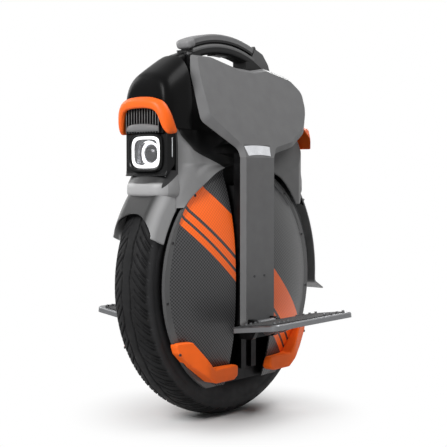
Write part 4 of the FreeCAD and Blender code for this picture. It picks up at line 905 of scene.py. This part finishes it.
class UNICYCLE_OT_fins(bpy.types.Operator):
    """Make the upright fins of the heat sink"""
    bl_idname = "unicycle.fins"
    bl_label = "Heat sink"

    def execute(self, context):
        low, high = FIN_Z
        steps = ((low, FIN_INSET), (low + FIN_EDGE, 0.0), (high - FIN_EDGE, 0.0), (high, FIN_INSET))
        plate = rounded_square(*FIN_PLATE, *FIN_PLATE_SECTION)
        parts = [skin([[(FIN_ROOT + a, b, z) for a, b in plate] for z in FIN_Z])]
        for step in range(-FIN_SIDE, FIN_SIDE + 1):
            loops = []
            for z, inset in steps:
                section = rounded_square(FIN_REACH - inset, FIN_THICK / 2 - inset / 2, *FIN_SECTION)
                loops.append([(FIN_ROOT + FIN_REACH + a, step * FIN_PITCH + b, z) for a, b in section])
            parts.append(skin(loops))
        new_piece("heat_sink_fins", together(parts), "black_alloy", "chassis", ["heat_sink"], "fin_grey_painted_highlight")
        return {"FINISHED"}


VISOR_BACK = 0.186
VISOR_REACH = 0.038
VISOR_HALF = 0.0616
VISOR_POWER = 3.3
VISOR_SECTION = (2.6, 44)
VISOR_THICK = 0.012
VISOR_LEAN = 0.0055
VISOR_SAMPLES = 1441
VISOR_STEPS = 181
VISOR_END_STEPS = 4
VISOR_EASING = 10
# Heights of the visor's edges, under their angles from its middle.
VISOR_TOP = (
    (0, 6, 12, 20, 32, 50, 68, 79, 85, 88, 90),
    (0.5828, 0.5822, 0.5814, 0.58, 0.5774, 0.5742, 0.5695, 0.562, 0.55, 0.5365, 0.526))
VISOR_FOOT = (
    (0, 6, 17, 27, 33, 39, 46, 56, 72, 88, 90),
    (0.5628, 0.5624, 0.5606, 0.5564, 0.5512, 0.542, 0.53, 0.5235, 0.518, 0.519, 0.52))


def settle(values):
    """Evens out the corners of a sampled edge."""
    for _ in range(VISOR_EASING):
        values = np.convolve(np.pad(values, 1, mode="edge"), (0.25, 0.5, 0.25), mode="valid")
    return values


class UNICYCLE_OT_visor(bpy.types.Operator):
    """Make the thick rounded visor that arches over the heat sink and headlight"""
    bl_idname = "unicycle.visor"
    bl_label = "Visor"

    def execute(self, context):
        turns = np.radians(np.linspace(-90, 90, VISOR_SAMPLES))
        x = VISOR_BACK + VISOR_REACH * bulge(np.cos(turns), VISOR_POWER)
        y = VISOR_HALF * bulge(np.sin(turns), VISOR_POWER)
        length = np.cumsum(np.hypot(np.diff(x, prepend=x[0]), np.diff(y, prepend=y[0])))
        even = np.linspace(0, length[-1], VISOR_STEPS)
        x, y, turns = (np.interp(even, length, values) for values in (x, y, turns))
        degrees = np.degrees(np.abs(turns))
        top, foot = (settle(np.interp(degrees, *edge)) for edge in (VISOR_TOP, VISOR_FOOT))
        across = np.stack([-np.gradient(y), np.gradient(x)], axis=1)
        across /= np.linalg.norm(across, axis=1)[:, None]
        loops = []
        for i in range(VISOR_STEPS):
            end = min(i, VISOR_STEPS - 1 - i) / VISOR_END_STEPS
            size = sqrt(1 - (1 - min(end, 1.0)) ** 2) * 0.5 + 0.5
            middle, half = (top[i] + foot[i]) / 2, (top[i] - foot[i]) / 2 * size
            loop = []
            for a, b in rounded_square(VISOR_THICK / 2 * size, half, *VISOR_SECTION):
                inward = VISOR_THICK / 2 + a + VISOR_LEAN * max(0.0, b / half) ** 2
                loop.append((x[i] + across[i, 0] * inward, y[i] + across[i, 1] * inward, middle + b))
            loops.append(loop)
        new_piece("visor_arch", skin(loops), "orange_trim", "chassis", ["front_visor"])
        return {"FINISHED"}


HOOD_BASE = 0.5283
HOOD_WAIST = 0.56
HOOD_POINTS = 41
HOOD_POWER = 2.7
SPINE_POWER = 3.5
# Each station of the hood: x, half width and top; the spine's have a foot before the top.
HOOD_STATIONS = (
    (0.1380, 0.0520, 0.6600), (0.1440, 0.0528, 0.6568), (0.1500, 0.0530, 0.6532), (0.1590, 0.0530, 0.6478),
    (0.1680, 0.0530, 0.6422), (0.1760, 0.0530, 0.6371), (0.1840, 0.0529, 0.6318), (0.1900, 0.0524, 0.6276),
    (0.1940, 0.0515, 0.6242), (0.1970, 0.0502, 0.6208), (0.1995, 0.0485, 0.6166), (0.2015, 0.0464, 0.6118),
    (0.2030, 0.0440, 0.6058), (0.2038, 0.0415, 0.5990), (0.2040, 0.0390, 0.5930))
SPINE_STATIONS = (
    (0.1105, 0.0120, 0.6420, 0.6655), (0.1120, 0.0140, 0.6400, 0.6672), (0.1180, 0.0155, 0.6330, 0.6660),
    (0.1280, 0.0160, 0.6200, 0.6630), (0.1390, 0.0160, 0.6000, 0.6588))


def hood_section(x, half, base, waist, top, power):
    """Arched section of the hood on upright sides."""
    turns = np.linspace(0, pi, HOOD_POINTS)
    across = half * bulge(np.cos(turns), power)
    rise = waist + (top - waist) * bulge(np.sin(turns), power)
    return [(x, half, base)] + [(x, y, z) for y, z in zip(across, rise)] + [(x, -half, base)]


class UNICYCLE_OT_hood(bpy.types.Operator):
    """Make the domed hood and the spine that runs up to the handle"""
    bl_idname = "unicycle.hood"
    bl_label = "Hood"

    def execute(self, context):
        dome = [hood_section(x, half, HOOD_BASE, HOOD_WAIST, top, HOOD_POWER) for x, half, top in HOOD_STATIONS]
        spine = [
            hood_section(x, half, foot, (foot + top) / 2, top, SPINE_POWER)
            for x, half, foot, top in SPINE_STATIONS]
        shape = together([skin(dome), skin(spine)])
        new_piece("top_hood", shape, "gloss_black", "chassis", ["top_cowl"], "hood_black", SHELL_CREASE)
        return {"FINISHED"}


FASCIA_WALL = 0.004
FASCIA_HALF = 0.067
FASCIA_FRONT = 0.193
FASCIA_BACK = 0.08
FASCIA_POWER = 3.0
FASCIA_EDGE = 0.048
FASCIA_ARC = 0.2145
FASCIA_END = 0.001
FASCIA_Z = (0.391, 0.528)
FASCIA_RIM = 0.001
FASCIA_SAMPLES = 400
FASCIA_LEVELS = 60
FASCIA_POINTS = 72
FASCIA_MARGIN = 4
FASCIA_EASING = 24
FASCIA_HIDDEN = 0.07
DIP_WIDTH = 0.026
DIP_LEAD = 0.007
DIP_BACK = 1.5
PANEL_DROP = 0.078
PANEL_STEPS = 14
PANEL_CLEAR = 0.003
CHIN_ROOT = 0.172
CHIN_POWER = 2.8
CHIN_POINTS = 97
# Each station of the chin: height, reach and half width.
CHIN_STATIONS = (
    (0.4080, 0.2090, 0.0470), (0.4105, 0.2115, 0.0485), (0.4125, 0.2142, 0.0500), (0.4145, 0.2157, 0.0508),
    (0.4170, 0.2164, 0.0512), (0.4200, 0.2165, 0.0513), (0.4270, 0.2162, 0.0512), (0.4300, 0.2154, 0.0510),
    (0.4330, 0.2138, 0.0506), (0.4370, 0.2110, 0.0500), (0.4420, 0.2070, 0.0494), (0.4490, 0.2010, 0.0488),
    (0.4560, 0.1960, 0.0482))


def wall(path):
    """Closed loop round a path at one height, thickened to the left of its run."""
    path = np.array(path)
    along = np.gradient(path[:, :2], axis=0)
    along /= np.linalg.norm(along, axis=1)[:, None]
    inner = path.copy()
    inner[:, 0] -= along[:, 1] * FASCIA_WALL
    inner[:, 1] += along[:, 0] * FASCIA_WALL
    return [tuple(p) for p in path] + [tuple(p) for p in inner[::-1]]


def neighbours(grid):
    """The values on the four sides of each place in a grid."""
    padded = np.pad(grid, 1, mode="edge")
    return padded[:-2, 1:-1], padded[2:, 1:-1], padded[1:-1, :-2], padded[1:-1, 2:]


def fascia_paths():
    """Paths of the fascia's left side from its front edge back to the cover, at rising heights."""
    sinking = [tree("side_panel_left"), tree("suspension_leg_left")]
    shell = tree("front_fascia")

    def limit(x, z):
        """Farthest reach that the panel and the leg clear while they sink beside the fascia."""
        reach = FASCIA_HALF
        for drop in np.linspace(0.0, PANEL_DROP, PANEL_STEPS):
            for part in sinking:
                point = part.ray_cast(Vector((x, 0.0, z + drop)), Vector((0, 1, 0)))[0]
                if point is not None:
                    reach = min(reach, point.y - PANEL_CLEAR)
        if x < FASCIA_HIDDEN:
            point = shell.ray_cast(Vector((x, 1.0, min(z, FASCIA_Z[1] - FASCIA_RIM))), Vector((0, -1, 0)))[0]
            reach = min(reach, FASCIA_HALF if point is None else point.y)
        return reach

    turns = np.linspace(0.0, pi / 2, FASCIA_SAMPLES)
    nose = FASCIA_BACK + (FASCIA_FRONT - FASCIA_BACK) * bulge(np.cos(turns), FASCIA_POWER)
    plan_x = np.append(nose, 0.0)
    plan_y = np.append(FASCIA_HALF * bulge(np.sin(turns), FASCIA_POWER), FASCIA_HALF)
    levels = np.linspace(*FASCIA_Z, FASCIA_LEVELS)
    wide, deep, bounds = [], [], []
    for z in levels:
        up = z - AXLE.z
        end = sqrt(max(FASCIA_ARC ** 2 - up ** 2, FASCIA_END ** 2))
        x = np.linspace(np.interp(FASCIA_EDGE, plan_y, plan_x), end, FASCIA_POINTS)
        y = np.interp(-x, -plan_x, plan_y)
        line = SHELL_BEND[0] + min((z - SHELL_BEND[1]) * slope for slope in SHELL_SLOPES)
        lowest = limit(max(line - DIP_WIDTH * DIP_BACK, end), z)
        dip = smooth_step(line + DIP_LEAD - x, 0.0, DIP_WIDTH) * (FASCIA_HALF - lowest)
        wide.append(x)
        bounds.append([limit(each, z) for each in x])
        deep.append(np.minimum(y - dip, bounds[-1]))
    deep = np.array(deep)
    for _ in range(FASCIA_MARGIN):
        deep = np.minimum.reduce([deep, *neighbours(deep)])
    for _ in range(FASCIA_EASING):
        deep = sum(neighbours(deep)) / 4
    deep = np.minimum(deep, bounds)
    return [list(zip(wide[i], deep[i], [z] * FASCIA_POINTS)) for i, z in enumerate(levels)]


def chin_path(z, reach, half):
    """Path round the chin at one height, from its right end to its left end."""
    turns = np.linspace(-pi / 2, pi / 2, CHIN_POINTS)
    x = CHIN_ROOT + (reach - CHIN_ROOT) * bulge(np.cos(turns), CHIN_POWER)
    y = half * bulge(np.sin(turns), CHIN_POWER)
    return list(zip(x, y, [z] * CHIN_POINTS))


class UNICYCLE_OT_fascia(bpy.types.Operator):
    """Make the smooth front fascia with its rounded chin"""
    bl_idname = "unicycle.fascia"
    bl_label = "Front fascia"

    def execute(self, context):
        side = skin([wall(path) for path in fascia_paths()])
        chin = skin([wall(chin_path(*station)) for station in CHIN_STATIONS])
        shape = together([side, mirrored(side), chin])
        new_piece(
            "front_shell", shape, "dark_grey_shell", "chassis", ["front_fascia"], "two_tone_shell_painted_light", SHELL_CREASE)
        return {"FINISHED"}


HEAD_LEAN = 20.8
BADGE_ARCH = 0.0022
BADGE_POINTS = 21
BADGE_FOOT = 0.05
BADGE_STEPS = ((-0.0012, 0.0), (-0.0003, 0.0), (0.0, 0.0004), (0.0, 0.003))


def badge_outline(out, up, face, foot, top, foot_half, top_half):
    """Outline of a neck plate whose long edges arch upward."""
    def at(share, half, height):
        return out * face + up * (height + BADGE_ARCH * (1 - share * share)) + Vector((share * half, 0, 0))

    shares = np.linspace(-1, 1, BADGE_POINTS)
    return ([at(share, foot_half, foot) for share in shares]
            + [at(share, top_half, top - BADGE_ARCH) for share in shares[::-1]])


class UNICYCLE_OT_badges(bpy.types.Operator):
    """Make the bare arched plates at the panels' necks"""
    bl_idname = "unicycle.badges"
    bl_label = "Neck plates"

    def execute(self, context):
        left = [v.co for v in NODES["neck_badges"].data.vertices if v.co.y > 0]
        lean = radians(HEAD_LEAN)
        out = Vector((0, cos(lean), sin(lean)))
        up = Vector((0, -sin(lean), cos(lean)))
        face = max(point.dot(out) for point in left)
        foot = min(point.dot(up) for point in left)
        top = max(point.dot(up) for point in left)
        top_half = max(point.x for point in left)
        foot_half = max(point.x for point in left if point.dot(up) < foot + (top - foot) * BADGE_FOOT)
        plate = [
            badge_outline(out, up, face + depth, foot + inset, top - inset, foot_half - inset, top_half - inset)
            for depth, inset in BADGE_STEPS]
        new_piece(
            "neck_plates", both_sides([skin(plate)]), "badge", "foot_frame", ["neck_badges"], crease=FLAT_CREASE)
        return {"FINISHED"}


ARCH_POINTS = 40
BAR_POWER = 5.0
CAP_POWER = 3.4
CAP_ANGLES = (18.5, 22.5)
CAP_RADII = (0.2545, 0.2728)
CAP_HALF = 0.0165
CAP_STEPS = 72
CAP_RIDGES = 8
CAP_RIDGE = 0.0003
CAP_FREE = 0.06
CAP_NOSE = 0.4
CAP_ROUND = 0.0078
BED_ANGLES = (-18.0, 18.2, 48)
BED_RADII = (0.2548, 0.2572)
BED_HALF = 0.0112
LATCH_X = 0.101
LATCH_Z = (0.6500, 0.6725)
LATCH_DEPTH = 0.0082
LATCH_HALF = 0.013
LATCH_SECTION = (4.0, 36)
LATCH_RIBS = 5
LATCH_STEPS = LATCH_RIBS * 4
LATCH_RIB = 0.0011
GRIP_RIB_ANGLES = (-17.0, 16.1, 1.0)
GRIP_RIB_CLEAR = 5.2
GRIP_RIB_RADII = (0.2348, 0.2375)
GRIP_RIB_STEPS = ((-0.28, 0.0008, 0.0112), (-0.16, 0.0, 0.0124), (0.16, 0.0, 0.0124), (0.28, 0.0008, 0.0112))


def arch_section(degrees, inner, outer, half, power=BAR_POWER):
    """Rounded section of the handle arch at an angle from its top."""
    turn = radians(degrees)
    radius = (inner + outer) / 2
    section = rounded_square(half, (outer - inner) / 2, power, ARCH_POINTS)
    return [(ARCH_X + (radius + b) * sin(turn), a, ARCH_Z + (radius + b) * cos(turn)) for a, b in section]


class UNICYCLE_OT_handle(bpy.types.Operator):
    """Make the trolley bar's end cap, the bed under the bar, the latch block and the ribs of the grip"""
    bl_idname = "unicycle.handle"
    bl_label = "Handle"

    def execute(self, context):
        cap = []
        for step in range(CAP_STEPS + 1):
            share = step / CAP_STEPS
            ridge = CAP_RIDGE * wave(share, CAP_RIDGES) * (CAP_FREE < share < 1 - CAP_NOSE)
            nose = CAP_ROUND * (1 - sqrt(1 - max(0.0, (share - 1 + CAP_NOSE) / CAP_NOSE) ** 2))
            inset = ridge + nose
            angle = CAP_ANGLES[0] + (CAP_ANGLES[1] - CAP_ANGLES[0]) * share
            inner, outer = CAP_RADII[0] + inset, CAP_RADII[1] - inset
            cap.append(arch_section(angle, inner, outer, CAP_HALF - inset, CAP_POWER))
        new_piece("trolley_end_cap", skin(cap), "grey_panel", "trolley", ["trolley_cap"], "cap_grey")
        bed = [arch_section(angle, *BED_RADII, BED_HALF) for angle in np.linspace(*BED_ANGLES)]
        new_piece("strip_bed", skin(bed), "black_rubber", "foot_frame")
        latch = []
        for step in range(LATCH_STEPS + 1):
            share = step / LATCH_STEPS
            rib = LATCH_RIB * wave(share, LATCH_RIBS)
            z = LATCH_Z[0] + (LATCH_Z[1] - LATCH_Z[0]) * share
            section = rounded_square(LATCH_DEPTH - rib, LATCH_HALF - rib, *LATCH_SECTION)
            latch.append([(LATCH_X + a, b, z) for a, b in section])
        new_piece("latch_block", skin(latch), "black_plastic", "foot_frame")
        inner, outer = GRIP_RIB_RADII
        ribs = [
            skin([arch_section(angle + turn, inner + inset, outer, half) for turn, inset, half in GRIP_RIB_STEPS])
            for angle in np.arange(*GRIP_RIB_ANGLES) if abs(angle) > GRIP_RIB_CLEAR]
        new_piece("grip_ribs", together(ribs), "black_rubber", "foot_frame")
        return {"FINISHED"}


WHITE = (1, 1, 1, 1)
FLOOR_REACH = 12.0
FLOOR_CLEAR = (0.06, 0.30)
AMBIENT = 0.11
LIGHT_AIM = (0.0, 0.0, 0.4)
# Each soft box: name, place, size and power.
SOFT_BOXES = (
    ("front_key", (1.9, 0.25, 1.5), (0.7, 0.9), 54.0),
    ("top", (-0.8, 1.0, 2.2), (1.2, 0.9), 29.0),
    ("rear_fill", (-2.0, -0.9, 1.4), (0.9, 1.2), 24.0),
    ("far_fill", (0.4, -2.2, 1.5), (1.2, 1.2), 24.0),
)
CAMERA_PLACE = (1.5508, 1.2693, 0.445)
CAMERA_TURN = 50.94
CAMERA_DIP = 2.52
CAMERA_LENS = 85.5
CAMERA_SENSOR = 36.0


def make_floor():
    """Pale floor that runs out to plain white away from the object."""
    mesh = bpy.data.meshes.new("floor")
    corners = [(x * FLOOR_REACH, y * FLOOR_REACH, 0) for x, y in ((-1, -1), (1, -1), (1, 1), (-1, 1))]
    mesh.from_pydata(corners, [], [(0, 1, 2, 3)])
    floor = linked("floor", mesh)
    look = Finish("floor")
    look.paint(shade(colours().floor), roughness=0.9, shine=0.1)
    distance = look.add("ShaderNodeVectorMath", {"operation": "LENGTH"}, Vector=look.place).outputs["Value"]
    fade = look.times(look.ramp(distance, *FLOOR_CLEAR), look.seen())
    white = look.add("ShaderNodeEmission", Color=WHITE, Strength=1.0)
    look.show("Material Output", fade, look.surface.outputs[0], white.outputs[0])
    mesh.materials.append(look.material)


def make_light():
    """Soft boxes round the object, and a surround that is white to look at but lights it only a little."""
    world = bpy.data.worlds.new("studio")
    world.use_nodes = True
    bpy.context.scene.world = world
    studio = Wiring(world.node_tree)
    surround = studio.nodes["Background"]
    studio.put(surround.inputs["Color"], WHITE)
    studio.put(surround.inputs["Strength"], AMBIENT)
    white = studio.add("ShaderNodeBackground", Color=WHITE, Strength=1.0)
    studio.show("World Output", studio.seen(), surround.outputs[0], white.outputs[0])
    for name, place, size, power in SOFT_BOXES:
        lamp = adjust(
            bpy.data.lights.new(name, "AREA"), shape="RECTANGLE", size=size[0], size_y=size[1], energy=power)
        aim = (Vector(LIGHT_AIM) - Vector(place)).to_track_quat("-Z", "Y")
        adjust(linked(name, lamp), location=place, rotation_euler=aim.to_euler())


def make_camera():
    """Camera where the photograph was taken from."""
    camera = adjust(bpy.data.cameras.new("camera"), lens=CAMERA_LENS, sensor_width=CAMERA_SENSOR)
    turn, dip = radians(CAMERA_TURN), radians(CAMERA_DIP)
    back = Vector((sin(turn) * cos(dip), cos(turn) * cos(dip), sin(dip)))
    bpy.context.scene.camera = adjust(
        linked("camera", camera), location=CAMERA_PLACE, rotation_euler=back.to_track_quat("Z", "Y").to_euler())


class UNICYCLE_OT_stage(bpy.types.Operator):
    """Set the floor, the studio light and the camera"""
    bl_idname = "unicycle.stage"
    bl_label = "Stage"

    def execute(self, context):
        make_floor()
        make_light()
        make_camera()
        context.scene.view_settings.view_transform = "Standard"
        return {"FINISHED"}


OPERATORS = (
    UNICYCLE_OT_finishes, UNICYCLE_OT_tyre, UNICYCLE_OT_screws, UNICYCLE_OT_headlight, UNICYCLE_OT_fins,
    UNICYCLE_OT_visor, UNICYCLE_OT_hood, UNICYCLE_OT_fascia, UNICYCLE_OT_badges, UNICYCLE_OT_handle,
    UNICYCLE_OT_stage,
)


class UNICYCLE_PT_panel(bpy.types.Panel):
    """Lists the pieces of the unicycle"""
    bl_label = "Electric unicycle"
    bl_idname = "UNICYCLE_PT_panel"
    bl_space_type = "VIEW_3D"
    bl_region_type = "UI"
    bl_category = "Unicycle"

    def draw(self, context):
        for operator in OPERATORS:
            self.layout.operator(operator.bl_idname)
        for group in (context.scene.unicycle_sizes, context.scene.unicycle_colours):
            box = self.layout.box()
            for name in group.__annotations__:
                box.prop(group, name)


CLASSES = (UnicycleSizes, UnicycleColours) + OPERATORS + (UNICYCLE_PT_panel,)


def register():
    for each in CLASSES:
        bpy.utils.register_class(each)
    bpy.types.Scene.unicycle_sizes = PointerProperty(type=UnicycleSizes)
    bpy.types.Scene.unicycle_colours = PointerProperty(type=UnicycleColours)


def unregister():
    del bpy.types.Scene.unicycle_colours
    del bpy.types.Scene.unicycle_sizes
    for each in reversed(CLASSES):
        bpy.utils.unregister_class(each)


def main():
    register()
    for operator in OPERATORS:
        group, name = operator.bl_idname.split(".")
        getattr(getattr(bpy.ops, group), name)()


if __name__ == "__main__":
    main()
